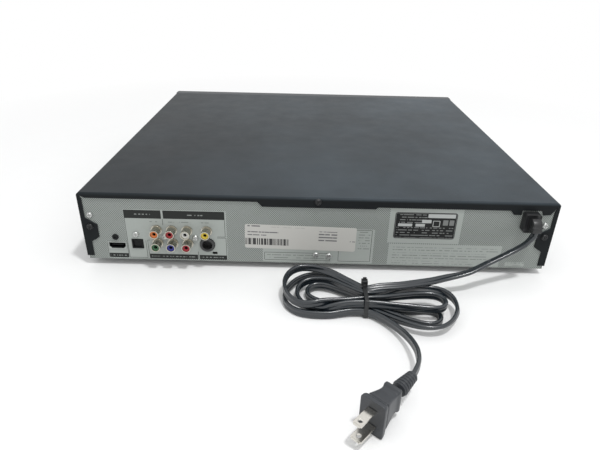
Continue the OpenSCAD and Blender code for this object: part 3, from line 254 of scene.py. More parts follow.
class Nodes:
    """Short ways of adding nodes to a shader tree. They read its place where no vector is given."""

    place = None

    def __init__(self, tree):
        self.tree = tree

    def wire(self, socket, value):
        """Feeds a socket from another one, or sets it to a plain value."""
        if isinstance(value, bpy.types.NodeSocket):
            self.tree.links.new(value, socket)
        else:
            socket.default_value = value

    def fill(self, node, **inputs):
        """Wires or sets a node's inputs by their labels, with _ for a space."""
        for label, value in inputs.items():
            self.wire(node.inputs[label.replace("_", " ")], value)
        return node

    def feed(self, node, *values):
        """Wires or sets a node's inputs in turn and gives its output."""
        for socket, value in zip([s for s in node.inputs if s.enabled], values):
            self.wire(socket, value)
        return next(s for s in node.outputs if s.enabled)

    def node(self, kind, **inputs):
        return self.fill(self.tree.nodes.new("ShaderNode" + kind), **inputs)

    def shared(self, group, vector=None, **inputs):
        """Places a shared group and gives its outputs."""
        node = self.node("Group")
        node.node_tree = group
        return self.fill(node, Vector=vector or self.place, **inputs).outputs

    def calc(self, operation, *values, clamp=False):
        node = self.node("Math")
        node.operation = operation
        node.use_clamp = clamp
        return self.feed(node, *values)

    def plus(self, a, b, **options):
        return self.calc("ADD", a, b, **options)

    def minus(self, a, b, **options):
        return self.calc("SUBTRACT", a, b, **options)

    def times(self, a, b, **options):
        return self.calc("MULTIPLY", a, b, **options)

    def above(self, value, limit):
        return self.calc("GREATER_THAN", value, limit)

    def below(self, value, limit):
        return self.calc("LESS_THAN", value, limit)

    def vector_calc(self, operation, *values):
        node = self.node("VectorMath")
        node.operation = operation
        return self.feed(node, *values)

    def axis(self, name, vector=None):
        return self.node("SeparateXYZ", Vector=vector or self.place).outputs[name]

    def facing_up(self):
        return self.axis("Z", self.node("NewGeometry").outputs["Normal"])

    def wave(self, value, pitch):
        """Sine wave along a value, with its pitch in millimetres."""
        return self.calc("SINE", self.times(value, 2 * math.pi / (pitch * MM)))

    def noise(self, scale, detail=3.0, roughness=0.55, vector=None):
        return self.node("TexNoise", Vector=vector or self.place, Scale=scale, Detail=detail,
                         Roughness=roughness).outputs["Fac"]


class Group(Nodes):
    """A shader group with a Vector and more inputs, given with their first values."""

    def __init__(self, name, outputs, **inputs):
        super().__init__(bpy.data.node_groups.new(name, "ShaderNodeTree"))
        for label, value in {"Vector": None, **inputs}.items():
            socket = self.add_socket("INPUT", label.replace("_", " "))
            if value is not None:
                socket.default_value = value
        for label in outputs:
            self.add_socket("OUTPUT", label)
        self.given = self.tree.nodes.new("NodeGroupInput").outputs
        self.result = self.tree.nodes.new("NodeGroupOutput")
        self.place = self.given["Vector"]

    def add_socket(self, side, label):
        kind = "NodeSocket" + SOCKET_KINDS.get(label, "Float")
        return self.tree.interface.new_socket(label, in_out=side, socket_type=kind)

    def give(self, **outputs):
        self.fill(self.result, **outputs)
        return self.tree


def surface_grain():
    """Soft clouds and fine grain in the colour and the roughness."""
    made = Group("surface_grain", ["Colour", "Roughness", "Height"], Colour=None, Scale=900, Mottle=0.1,
                 Grain=0.1, Roughness=0.5, Roughness_Spread=0.1)
    given = made.given
    uneven = made.minus(made.noise(made.times(given["Scale"], 0.02), 4.0), 0.5)
    fine = made.noise(given["Scale"], 2.0)
    swing = made.times(uneven, made.times(given["Mottle"], 2.0))
    speck = made.times(made.minus(fine, 0.5), made.times(given["Grain"], 2.0))
    factor = made.plus(made.plus(swing, speck), 1.0)
    spread = made.times(uneven, given["Roughness Spread"])
    return made.give(Colour=made.vector_calc("MULTIPLY", given["Colour"], factor),
                     Roughness=made.plus(given["Roughness"], spread, clamp=True), Height=fine)


def worn_edge():
    """Rounds the shading of sharp edges and gives a broken mask along them."""
    made = Group("worn_edge", ["Normal", "Mask"], Radius=0.0004, Scale=300)
    bevel = made.node("Bevel", Radius=made.given["Radius"])
    bevel.samples = 4
    flat = made.node("NewGeometry").outputs["Normal"]
    turn = made.vector_calc("DOT_PRODUCT", bevel.outputs[0], flat)
    edge = made.times(made.minus(0.995, turn, clamp=True), 6.0, clamp=True)
    broken = made.times(made.noise(made.given["Scale"], 4.0), 1.4, clamp=True)
    return made.give(Normal=bevel.outputs[0], Mask=made.times(edge, broken))


def printed_box():
    """1 inside a rectangle with round corners on the XZ plane, or along its sides where Line isn't 0."""
    made = Group("printed_box", ["Mask"], Middle_X=0, Middle_Z=0, Half_Width=0.01, Half_Height=0.01,
                 Corner=0.0005, Line=0)
    given = made.given
    parts = []
    for side, middle, half in (("X", "Middle X", "Half Width"), ("Z", "Middle Z", "Half Height")):
        away = made.calc("ABSOLUTE", made.minus(made.axis(side), given[middle]))
        parts.append(made.minus(away, made.minus(given[half], given["Corner"])))
    squares = [made.calc("POWER", made.calc("MAXIMUM", part, 0.0), 2.0) for part in parts]
    outside = made.calc("SQRT", made.plus(*squares))
    inside = made.calc("MINIMUM", made.calc("MAXIMUM", *parts), 0.0)
    distance = made.minus(made.plus(outside, inside), given["Corner"])
    hollow = made.below(distance, made.times(given["Line"], -1.0))
    opened = made.times(hollow, made.above(given["Line"], 0.0))
    return made.give(Mask=made.minus(made.below(distance, 0.0), opened))


def dot_screen():
    """Fine diagonal rows of dots, as printed on sheet steel."""
    made = Group("dot_screen", ["Mask"], Pitch=0.0013)
    waves = []
    for joined in (made.plus, made.minus):
        turns = made.calc("DIVIDE", joined(made.axis("X"), made.axis("Z")), made.given["Pitch"])
        waves.append(made.calc("COSINE", made.times(turns, 2 * math.pi)))
    return made.give(Mask=made.plus(made.times(made.plus(*waves), 0.8), 0.35, clamp=True))


def broken_rules():
    """Rows of short dashes on the XZ plane: plain rules where small print would be."""
    made = Group("broken_rules", ["Mask"], Pitch=0.003, Fill=0.4, Dash=300, Gaps=0.5)
    given = made.given
    row = made.calc("DIVIDE", made.axis("Z"), given["Pitch"])
    line = made.below(made.calc("FRACT", row), given["Fill"])
    place = made.node("CombineXYZ", X=made.axis("X"), Z=made.times(made.calc("FLOOR", row), 0.37))
    dash = made.above(made.noise(given["Dash"], 1.0, vector=place.outputs[0]), given["Gaps"])
    return made.give(Mask=made.times(line, dash))


def settled_dust():
    """Pale mask on faces that look up, in patches and specks: thin dust, and on the cover also a painted
    sheen.
    """
    made = Group("settled_dust", ["Mask"], Amount=0.2, Specks=0.5)
    patch = made.noise(9.0, 6.0, 0.62)
    speck = made.above(made.noise(420.0, 1.0), 0.775)
    cover = made.plus(made.times(patch, made.given["Amount"]), made.times(speck, made.given["Specks"]))
    return made.give(Mask=made.times(cover, made.calc("MAXIMUM", made.facing_up(), 0.0), clamp=True))


SURFACE_GRAIN = surface_grain()
WORN_EDGE = worn_edge()
PRINTED_BOX = printed_box()
DOT_SCREEN = dot_screen()
BROKEN_RULES = broken_rules()
DUST_AND_SHEEN = settled_dust()

# ---------------- materials


class Finish(Nodes):
    """A material with the shared grain and edge groups wired to its own shader."""

    def __init__(self, name, colour, roughness, metallic=0.0, specular=0.5, scale=900.0, mottle=0.08,
                 grain=0.06, spread=0.1, bump=0.12, depth=0.0001, edge=0.0003):
        self.material = bpy.data.materials.new(name)
        self.material.use_nodes = True
        super().__init__(self.material.node_tree)
        self.tree.nodes.clear()
        self.place = self.node("TexCoord").outputs["Object"]
        self.grain = self.shared(SURFACE_GRAIN, Colour=(*colour, 1.0), Scale=scale, Mottle=mottle,
                                 Grain=grain, Roughness=roughness, Roughness_Spread=spread)
        self.colour = self.grain["Colour"]
        self.bump = self.node("Bump", Strength=bump, Distance=depth, Height=self.grain["Height"])
        self.shader = self.node("BsdfPrincipled", Metallic=metallic, Specular_IOR_Level=specular,
                                Roughness=self.grain["Roughness"], Normal=self.bump.outputs[0])
        self.output = self.node("OutputMaterial", Surface=self.shader.outputs[0])
        if edge:
            worn = self.shared(WORN_EDGE, Radius=edge)
            self.fill(self.bump, Normal=worn["Normal"])
            self.edge_mask = worn["Mask"]

    def mapped(self, rotation, scale=(1.0, 1.0, 1.0)):
        """Object coordinates, turned and stretched."""
        return self.node("Mapping", Vector=self.place, Rotation=rotation, Scale=scale).outputs[0]

    def tint(self, mask, colour, amount=1.0):
        """Lays a colour over what is there, by a mask."""
        node = self.node("Mix")
        node.data_type = "RGBA"
        factor = mask if amount == 1.0 else self.times(mask, amount)
        self.colour = self.feed(node, factor, self.colour, (*colour, 1.0))

    def wear(self, colour, amount):
        self.tint(self.edge_mask, colour, amount)

    # Pale dust on faces that look up; on the cover its amount also paints a sheen.
    def dust(self, colour, amount, specks):
        self.tint(self.shared(DUST_AND_SHEEN, Amount=amount, Specks=specks)[0], colour)

    def box(self, x0, x1, z0, z1, corner=0.4, line=0.0, vector=None):
        """A printed rectangle, its sides in millimetres."""
        return self.shared(PRINTED_BOX, vector, Middle_X=(x0 + x1) / 2 * MM, Middle_Z=(z0 + z1) / 2 * MM,
                           Half_Width=abs(x1 - x0) / 2 * MM, Half_Height=abs(z1 - z0) / 2 * MM,
                           Corner=corner * MM, Line=line * MM)[0]

    def boxes(self, areas, **options):
        masks = [self.box(*area, **options) for area in areas]
        total = masks[0]
        for mask in masks[1:]:
            total = self.calc("MAXIMUM", total, mask)
        return total

    def rules(self, pitch, fill, dash, gaps, vector=None):
        """Rows of broken rules, with their pitch in millimetres."""
        return self.shared(BROKEN_RULES, vector, Pitch=pitch * MM, Fill=fill, Dash=dash, Gaps=gaps)[0]

    def done(self):
        self.fill(self.shader, Base_Color=self.colour)
        return self.material


def plain(name, colour, roughness, wear=None, **options):
    made = Finish(name, colour, roughness, **options)
    if wear:
        made.wear(wear, 0.5)
    return made.done()


def cover_paint():
    """Fine powder paint with pale dust on faces that look up, more of it toward -X where it is a painted
    sheen, faint scratches and bared edges.
    """
    made = Finish("cover_paint", (0.0100, 0.0118, 0.0130), 0.42, specular=0.10, scale=2600, mottle=0.14,
                  grain=0.16, spread=0.14, bump=0.25, depth=0.00008, edge=0.0006)
    # Painted sheen: the pale mask on up-facing faces grows toward -X, so the top is lighter toward -X.
    sheen_toward_minus_x = made.minus(1.0, made.times(made.axis("X"), 3.0))
    patches = made.plus(0.10, made.times(made.noise(5.0, 3.0, 0.5), 0.12))
    made.dust((0.25, 0.33, 0.40), made.times(sheen_toward_minus_x, patches), 0.08)
    stretched = made.mapped((0, 0, 0.7), (1.0, 14.0, 1.0))
    made.tint(made.above(made.noise(38.0, 6.0, 0.7, vector=stretched), 0.735), (0.22, 0.23, 0.24), 0.08)
    made.wear((0.10, 0.105, 0.11), 0.45)
    return made.done()


DOT_PITCH = 1.9
# Printed areas, each by its two sides in X and its two in Z, in millimetres.
PLAIN_AREAS = [
    (176, 83, 8, 59), (195.6, 175.2, 7.6, 26.4), (-65, -131, 31, 66), (-67, -172, 7.5, 30),
    (-178, -196, 8.5, 13), (50, -53, 7.5, 44)]
BLACK_BANDS = [
    (175.7, 141.9, 58.4, 50.0), (140.1, 84.3, 58.4, 50.2), (156.7, 111.2, 13.0, 8.0),
    (109.6, 83.7, 12.8, 8.0), (194.5, 176.5, 12.9, 8.2)]
FRAME_LINES = [
    (175.7, 175.3, 50, 8.4), (175.7, 158.4, 8.8, 8.4), (158.8, 158.4, 27, 8.4), (157.0, 156.6, 27.4, 12.8),
    (157.0, 154.6, 27.8, 27.4), (141.2, 140.8, 50, 43.5), (84.7, 84.3, 50, 32.4), (92, 84.3, 32.8, 32.4),
    (92, 83.7, 31.6, 31.2), (84.1, 83.7, 31.6, 12.8), (110.8, 110.4, 16.5, 8.0)]
FRAME_BOXES = [(195.2, 176.2, 26.0, 8.4), (48.6, -13.0, 17.8, 9.4), (-20.5, -50.8, 43.2, 9.4)]
BAND_PRINT = [
    (166, 151, 54.7, 53.7), (119, 104, 54.7, 53.7), (155, 113, 10.9, 9.9), (107.5, 86, 10.9, 9.9),
    (193, 178, 11.0, 10.0)]
SMALL_PRINT = [
    (-71, -170, 26.6, 23.2), (-71, -160, 20.6, 14.6), (-71, -148, 12.0, 8.9), (-180, -196, 12.4, 9.2),
    (46, -10, 16.6, 10.5), (-38.5, -49, 42, 22), (153, 144, 48.4, 45.6), (136, 117, 48.4, 45.6),
    (106, 97, 48.4, 45.6), (171, 162, 17.6, 15.4)]
STICKER_TILT = 1.05
STICKER_PRINT = [
    (64.5, 53, 44.8, 43.0), (43, 12, 43.6, 42.0), (64.5, 36, 40.2, 37.4), (64.5, 47, 36.6, 34.4),
    (-1, -18, 41.0, 30.2), (-30, -35, 31.8, 30.0)]
STICKER_STRIPES = (66.6, 26.5, 31.4, 24.6)
PLATE_BORDER = (-70.5, -125.4, 61.8, 36.5)
PLATE_PRINT = [(-74, -99, 60.6, 50.2), (-72, -124, 48.0, 37.0)]
PLATE_FIELDS = [
    (-99.5, -124.2, 61.2, 57.4), (-94.5, -103.0, 55.4, 52.0), (-73.2, -86.0, 51.2, 48.4),
    (-89.0, -97.5, 51.2, 48.4)]
PLATE_SQUARE = (-104.5, -111.0, 54.6, 48.4)
PLATE_BLANKS = [(-113.6, -118.2, 55.4, 50.0), (-119.4, -123.6, 55.4, 50.0)]


def panel_steel():
    """Dots on the open field, plain areas with thin frames, black bands and plain rules."""
    made = Finish("panel_steel", (0.335, 0.362, 0.343), 0.38, specular=0.3, scale=1400, mottle=0.05,
                  grain=0.05, spread=0.08, bump=0.06)
    dots = made.shared(DOT_SCREEN, Pitch=DOT_PITCH * MM)[0]
    open_field = made.minus(1.0, made.boxes(PLAIN_AREAS, corner=0.8))
    made.tint(made.times(dots, open_field), (0.085, 0.096, 0.090))
    lines = made.boxes(FRAME_LINES, corner=0.1)
    frames = made.boxes(FRAME_BOXES, corner=0.8, line=0.4)
    made.tint(made.calc("MAXIMUM", lines, frames), (0.03, 0.034, 0.032))
    made.tint(made.boxes(BLACK_BANDS), (0.010, 0.012, 0.011))
    dark = made.rules(pitch=2.9, fill=0.3, dash=420.0, gaps=0.46)
    made.tint(made.times(dark, made.boxes(SMALL_PRINT)), (0.08, 0.09, 0.085), 0.55)
    light = made.rules(pitch=40.0, fill=1.0, dash=560.0, gaps=0.5)
    made.tint(made.times(light, made.boxes(BAND_PRINT, corner=0.1)), (0.42, 0.45, 0.43), 0.5)
    made.wear((0.5, 0.52, 0.5), 0.3)
    return made.done()


def sticker_paper():
    """Paper with rows of plain rules and a field of upright stripes."""
    made = Finish("sticker_paper", (0.47, 0.467, 0.442), 0.55, scale=1200, mottle=0.03, grain=0.03,
                  bump=0.05, edge=None)
    level = made.mapped((0, math.radians(STICKER_TILT), 0))
    rules = made.rules(pitch=3.1, fill=0.42, dash=520.0, gaps=0.40, vector=level)
    made.tint(made.times(rules, made.boxes(STICKER_PRINT, vector=level)), (0.09, 0.09, 0.10), 0.9)
    across = made.node("CombineXYZ", X=made.axis("X"))
    stripes = made.above(made.noise(1050.0, 0.0, vector=across.outputs[0]), 0.48)
    field = made.box(*STICKER_STRIPES, corner=0.0, vector=level)
    made.tint(made.times(stripes, field), (0.03, 0.03, 0.03))
    return made.done()


def plate_black():
    """Black plate with a thin border, plain rules and blank fields."""
    made = Finish("plate_black", (0.012, 0.013, 0.013), 0.36, specular=0.2, scale=1200, mottle=0.05,
                  grain=0.04, bump=0.05, edge=None)
    white = (0.50, 0.52, 0.51)
    rules = made.rules(pitch=2.6, fill=0.34, dash=430.0, gaps=0.46)
    made.tint(made.times(rules, made.boxes(PLATE_PRINT)), white, 0.34)
    made.tint(made.boxes(PLATE_FIELDS), white, 0.85)
    made.tint(made.box(*PLATE_SQUARE, corner=0.6, line=0.6), white, 0.8)
    made.tint(made.boxes(PLATE_BLANKS), white, 0.35)
    made.tint(made.box(*PLATE_BORDER, corner=1.2, line=0.3), white, 0.4)
    return made.done()


# Inserts by their middle in X and Z and their colour; where Y is below the rim, painted shade darkens them.
INSERT_REACH = 6.0
INSERT_SHADE_EDGE = 205.6
INSERT_PLACES = [
    (133.4, 38.45, (0.33, 0.028, 0.032)), (119.4, 38.45, (0.60, 0.60, 0.57)),
    (147.4, 38.45, (0.62, 0.18, 0.05)), (101.4, 38.45, (0.66, 0.50, 0.06)),
    (147.4, 25.0, (0.045, 0.13, 0.065)), (133.4, 25.0, (0.035, 0.042, 0.24)),
    (119.4, 25.0, (0.33, 0.028, 0.040))]


def insert_colours():
    """Each phono socket's insert in its own colour, by its place on the panel, with painted shade inside its
    hole.
    """
    made = Finish("insert_colours", (0.70, 0.30, 0.03), 0.34, specular=0.3, scale=1500, mottle=0.05,
                  grain=0.04, bump=0.05)
    for x, z, colour in INSERT_PLACES:
        made.tint(made.box(x + INSERT_REACH, x - INSERT_REACH, z + INSERT_REACH, z - INSERT_REACH), colour)
    # Painted shade: all of the insert behind the rim, down in the hole, is made near-black.
    made.tint(made.below(made.axis("Y"), INSERT_SHADE_EDGE * MM), (0.02, 0.02, 0.02))
    return made.done()


SOLDER_PITCH, RIBBON_PITCH = 5.0025, 1.27
CORD_RING_PITCH, SHELL_SHADE_BAND_PITCH = 1.1, 2.1


def circuit_board(name, base, track):
    """Board with tracks between square cells and a grid of solder dots."""
    made = Finish(name, base, 0.42, mottle=0.10, bump=0.08, edge=None)
    cells = made.node("TexVoronoi")
    cells.distance = "MANHATTAN"
    cells.feature = "DISTANCE_TO_EDGE"
    made.fill(cells, Vector=made.place, Scale=260.0)
    made.tint(made.below(cells.outputs["Distance"], 0.06), track, 0.55)
    dots = made.times(made.wave(made.axis("X"), SOLDER_PITCH), made.wave(made.axis("Y"), SOLDER_PITCH))
    made.tint(made.above(dots, 0.90), (0.55, 0.56, 0.55))
    return made.done()


def cord_rubber():
    """Sheath of the cord: fine rings across it and faint scuffs along it."""
    made = Finish("cord_rubber", (0.0075, 0.0125, 0.0175), 0.24, specular=0.85, scale=1500, mottle=0.16,
                  grain=0.10, spread=0.14, bump=0.15, depth=0.00006, edge=None)
    uv = made.node("UVMap")
    uv.uv_map = "along_cord"
    rings = made.times(made.wave(made.axis("Y", uv.outputs[0]), CORD_RING_PITCH), 0.22)
    made.fill(made.bump, Height=made.plus(rings, made.grain["Height"]))
    made.tint(made.above(made.noise(120.0, 5.0, 0.7), 0.66), (0.16, 0.16, 0.16), 0.18)
    return made.done()


def ribbon_cable():
    made = Finish("ribbon_cable", (0.62, 0.62, 0.58), 0.45, mottle=0.05, edge=None)
    made.tint(made.above(made.wave(made.axis("X"), RIBBON_PITCH), 0.55), (0.42, 0.42, 0.40))
    return made.done()


def capacitor_sleeve():
    made = Finish("capacitor_sleeve", (0.035, 0.05, 0.09), 0.3, mottle=0.05)
    made.tint(made.above(made.facing_up(), 0.8), (0.55, 0.56, 0.56))
    return made.done()


def turned_nickel():
    """Socket shells with dark bands round them that paint the shade of turned ring grooves."""
    made = Finish("turned_nickel", (0.46, 0.44, 0.38), 0.22, metallic=1.0, scale=700, mottle=0.12,
                  spread=0.12, edge=0.0002)
    # Painted shade: dark bands along Y stand for the shade in the shell's turned grooves.
    made.tint(made.above(made.wave(made.axis("Y"), SHELL_SHADE_BAND_PITCH), 0.35), (0.13, 0.12, 0.09), 0.5)
    return made.done()


def smoke_window():
    made = Finish("smoke_window", (0.012, 0.014, 0.016), 0.12, mottle=0.1, grain=0.02, bump=0.01,
                  edge=0.0004)
    made.fill(made.shader, Coat_Weight=0.6, Coat_Roughness=0.06)
    return made.done()


def glass(name, colour, roughness, transmission):
    made = Finish(name, colour, roughness, mottle=0.04, grain=0.02, bump=0.01, edge=None)
    made.fill(made.shader, Transmission_Weight=transmission, Coat_Weight=0.5)
    return made.done()


BLACK_WEAR, GREY_WEAR = (0.06, 0.063, 0.065), (0.26, 0.27, 0.28)
MOULDED = dict(wear=BLACK_WEAR, scale=1500, mottle=0.12, bump=0.2)
PLAIN_FINISHES = {
    "plated_steel": dict(colour=(0.26, 0.27, 0.265), roughness=0.38, metallic=0.85, scale=500, mottle=0.10,
                         grain=0.10, spread=0.2),
    "front_plastic": dict(colour=(0.085, 0.091, 0.096), roughness=0.55, wear=(0.32, 0.33, 0.34),
                          specular=0.2, scale=1800, mottle=0.04, grain=0.05, edge=0.0006),
    "rubber_black": dict(colour=(0.022, 0.022, 0.023), roughness=0.75, wear=BLACK_WEAR, scale=700,
                         mottle=0.2, grain=0.2, bump=0.3),
    "black_screw": dict(colour=(0.014, 0.015, 0.016), roughness=0.36, wear=(0.3, 0.3, 0.3), metallic=0.4),
    "bright_screw": dict(colour=(0.50, 0.51, 0.50), roughness=0.30, metallic=0.9, mottle=0.12),
    "black_plastic": dict(colour=(0.013, 0.014, 0.015), roughness=0.40, grain=0.12, **MOULDED),
    "grey_plastic": dict(colour=(0.085, 0.09, 0.095), roughness=0.45, wear=GREY_WEAR, scale=1500, bump=0.2),
    "cream_plastic": dict(colour=(0.62, 0.58, 0.48), roughness=0.42),
    "motor_can": dict(colour=(0.55, 0.56, 0.55), roughness=0.30, metallic=0.9, scale=600, grain=0.12),
    "core_tape": dict(colour=(0.62, 0.52, 0.16), roughness=0.35, scale=500, mottle=0.12),
    "heat_sink_metal": dict(colour=(0.50, 0.51, 0.51), roughness=0.38, metallic=0.9, scale=400, grain=0.15),
    "chip_black": dict(colour=(0.022, 0.023, 0.025), roughness=0.5, scale=2200, grain=0.2, bump=0.3),
    "cord_black": dict(colour=(0.019, 0.021, 0.023), roughness=0.38, grain=0.10, **MOULDED),
    "brass_blade": dict(colour=(0.70, 0.68, 0.63), roughness=0.20, metallic=1.0, scale=500, mottle=0.10,
                        edge=0.0004),
    "carousel_plastic": dict(colour=(0.070, 0.074, 0.079), roughness=0.40, wear=GREY_WEAR, scale=1800,
                             bump=0.15),
    "rod_steel": dict(colour=(0.70, 0.71, 0.71), roughness=0.14, metallic=1.0, scale=300),
    "button_silver": dict(colour=(0.36, 0.375, 0.38), roughness=0.26, wear=(0.6, 0.6, 0.6), metallic=0.35,
                          scale=1600),
}


def make_finishes():
    """All finishes by the name of their slot."""
    return {
        "cover_paint": cover_paint(),
        "panel_steel": panel_steel(),
        "smoke_window": smoke_window(),
        "board_brown": circuit_board("board_brown", (0.34, 0.22, 0.09), (0.42, 0.29, 0.12)),
        "board_green": circuit_board("board_green", (0.035, 0.17, 0.075), (0.05, 0.24, 0.10)),
        "capacitor_sleeve": capacitor_sleeve(),
        "display_glass": glass("display_glass", (0.10, 0.22, 0.22), 0.08, 0.3),
        "lens_glass": glass("lens_glass", (0.35, 0.45, 0.75), 0.05, 0.6),
        "ribbon": ribbon_cable(),
        "nickel": turned_nickel(),
        "insert_colours": insert_colours(),
        **{name: plain(name, **look) for name, look in PLAIN_FINISHES.items()},
    }


finishes = make_finishes()
socket_black = plain("socket_black", (0.009, 0.010, 0.0105), 0.34, specular=0.15, scale=1800, bump=0.15)
socket_grey = plain("socket_grey", (0.030, 0.031, 0.032), 0.35, scale=1500, mottle=0.1)
socket_finishes = {
    "optical_shutter": socket_black, "optical_socket": socket_black, "svideo_socket": socket_grey}
for row in frame["record"]["subparts"]:
    node = nodes[row["node"]]
    if not node.material_slots:
        node.data.materials.append(None)
    for place in node.material_slots:
        place.material = socket_finishes.get(row["node"], finishes[row["material_slot"]])

# ---------------- modelling helpers

SMOOTH_ANGLE = 35


def select_all(mode="FACE"):
    bpy.ops.mesh.select_mode(type=mode)
    bpy.ops.mesh.select_all(action="SELECT")


def start_edit(mode="FACE"):
    """Opens the new piece in edit mode with all of it selected."""
    bpy.ops.object.mode_set(mode="EDIT")
    select_all(mode)


def end_edit():
    select_all()
    bpy.ops.mesh.normals_make_consistent(inside=False)
    bpy.ops.object.mode_set(mode="OBJECT")


def pick(mode, test):
    """Selects only the faces or the edges that pass the test."""
    bpy.ops.mesh.select_mode(type=mode)
    bpy.ops.mesh.select_all(action="DESELECT")
    mesh = bmesh.from_edit_mesh(bpy.context.object.data)
    for item in mesh.faces if mode == "FACE" else mesh.edges:
        item.select = bool(test(item))
    bmesh.update_edit_mesh(bpy.context.object.data)


def pick_faces(test):
    """Selects the faces by a test of their normal."""
    pick("FACE", lambda face: test(face.normal))


def pick_edges(test):
    """Selects the edges by a test of their two ends, in millimetres."""
    pick("EDGE", lambda edge: test(*(v.co / MM for v in edge.verts)))


def extrude(x, y, z):
    """Extrudes what is selected, by millimetres."""
    bpy.ops.mesh.extrude_region_move(TRANSFORM_OT_translate={"value": mm(x, y, z)})


def shift(x, y, z):
    """Moves what is selected, by millimetres."""
    bpy.ops.transform.translate(value=mm(x, y, z))


def inset(thickness):
    bpy.ops.mesh.inset(thickness=thickness * MM)


def round_edges(offset, segments):
    bpy.ops.mesh.bevel(offset=offset * MM, segments=segments)


def apply_place():
    bpy.ops.object.transform_apply(location=True, rotation=True, scale=True)


def new_block(name, low, high):
    """A cube primitive with the two given corners, in millimetres."""
    deselect()
    middle = [(a + b) / 2 * MM for a, b in zip(low, high)]
    bpy.ops.mesh.primitive_cube_add(size=1, location=middle)
    made = bpy.context.object
    made.name = made.data.name = name
    made.scale = [abs(b - a) * MM for a, b in zip(low, high)]
    apply_place()
    return made


def new_disc(name, radius, sides, place, turned):
    """A filled circle primitive, its radius and place in millimetres."""
    deselect()
    bpy.ops.mesh.primitive_circle_add(vertices=sides, radius=radius * MM, fill_type="NGON",
                                      location=mm(*place), rotation=turned)
    made = bpy.context.object
    made.name = made.data.name = name
    apply_place()
    return made


def grow_along_x(sections):
    """Grows the selected end face along +X through sections of place, half depth and half height."""
    for (x0, y0, z0), (x1, y1, z1) in zip(sections, sections[1:]):
        extrude(x1 - x0, 0, 0)
        bpy.ops.transform.resize(value=(1, y1 / y0, z1 / z0), center_override=mm(x1, 0, 0))


def activate(made, *others):
    deselect()
    for piece in (made, *others):
        piece.select_set(True)
    bpy.context.view_layer.objects.active = made


def apply_modifier(made, kind, **settings):
    modifier = made.modifiers.new(kind.lower(), kind)
    for key, value in settings.items():
        setattr(modifier, key, value)
    activate(made)
    bpy.ops.object.modifier_apply(modifier=modifier.name)


def soften(made, width, angle=30):
    """Rounds the sharp edges and shades the piece smooth."""
    apply_modifier(made, "BEVEL", width=width * MM, segments=2, limit_method="ANGLE",
                   angle_limit=math.radians(angle))
    bpy.ops.object.shade_smooth_by_angle(angle=math.radians(SMOOTH_ANGLE))


def cut(made, cutter):
    apply_modifier(made, "BOOLEAN", object=cutter, operation="DIFFERENCE", solver="EXACT")
    bpy.data.objects.remove(cutter)


def join(made, *others):
    activate(made, *others)
    if others:
        bpy.ops.object.join()
    return made


def paint(made, finish, body="case"):
    made.data.materials.clear()
    made.data.materials.append(finish)
    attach(made, body)
    return made


# ---------------- plug, tie and cord bush

PLUG_PLACE = (-62.9, 349.4, 13.65)
PLUG_ANGLE = 48.4
RELIEF_START = 7.0
RELIEF_RIBS = 6
RELIEF_PITCH = 2.72
# The grip's sections along its own X, each by its place, half depth and half height.
GRIP_SECTIONS = [
    (24.0, 5.4, 7.6), (24.6, 6.0, 8.9), (25.3, 6.2, 9.3), (27.0, 6.2, 9.3), (27.7, 6.0, 8.7),
    (28.6, 5.8, 8.0), (30.5, 5.8, 7.9), (33.5, 6.1, 8.5), (36.5, 6.6, 9.4), (39.5, 7.1, 10.3),
    (41.8, 7.5, 11.0), (42.3, 7.0, 10.5), (43.2, 7.0, 10.5), (43.8, 8.0, 11.8), (45.2, 8.6, 12.9),
    (46.6, 8.9, 13.4), (48.5, 9.0, 13.45)]
GRIP_CORNER = 1.3


def relief_sections():
    """Core with ribs round it, thicker toward the grip."""
    sections = [(RELIEF_START, 3.3, 3.3), (RELIEF_START + 0.4, 3.6, 3.6)]
    for i in range(RELIEF_RIBS):
        core, rib = 3.55 + 0.24 * i, 4.15 + 0.3 * i
        x = RELIEF_START + 0.9 + RELIEF_PITCH * i
        sections += [(x, core, core), (x + 0.3, rib, rib), (x + 1.5, rib, rib), (x + 1.8, core, core)]
    return sections + [(24.8, 5.2, 5.2)]


def make_relief():
    """Ribbed sleeve that the cord runs into, along +X from the origin."""
    made = new_disc("plug", 1.0, 40, (0, 0, 0), (0, math.pi / 2, 0))
    start_edit()
    sections = relief_sections()
    _, half_y, half_z = sections[0]
    bpy.ops.transform.resize(value=(1, half_y, half_z), center_override=(0, 0, 0))
    grow_along_x(sections)
    end_edit()
    soften(made, 0.18, 25)
    return made


def make_grip():
    """Waisted grip with a sunk panel in its end."""
    x, half_y, half_z = GRIP_SECTIONS[0]
    deselect()
    bpy.ops.mesh.primitive_plane_add(size=1, location=mm(x, 0, 0), rotation=(0, math.pi / 2, 0))
    made = bpy.context.object
    made.scale = (2 * half_z * MM, 2 * half_y * MM, 1)
    apply_place()
    start_edit("VERT")
    bpy.ops.mesh.bevel(affect="VERTICES", offset=GRIP_CORNER * MM, segments=4)
    select_all()
    grow_along_x(GRIP_SECTIONS)
    inset(1.6)
    shift(-0.25, 0, 0)
    end_edit()
    soften(made, 0.35, 28)
    return made


def make_plug():
    made = join(make_relief(), make_grip())
    made.location = mm(*PLUG_PLACE)
    made.rotation_euler = (0, 0, math.radians(PLUG_ANGLE))
    apply_place()
    paint(made, plain("plug_vinyl", (0.034, 0.038, 0.044), 0.42, wear=(0.09, 0.095, 0.10), scale=1500,
                      mottle=0.12, grain=0.10, bump=0.2))
    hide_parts("plug_body")
    return made


# Each part of the tie by its two opposite corners.
TIE_BAND = (-41.7, 246.1, 0.25), (-38.3, 272.3, 18.0)
TIE_HEAD = (-42.6, 245.6, 17.9), (-37.4, 250.9, 22.3)
TIE_TAIL = (-41.5, 247.0, 21.9), (-38.5, 248.1, 24.6)
BAND_THICK, BAND_CORNER = 1.25, 1.15


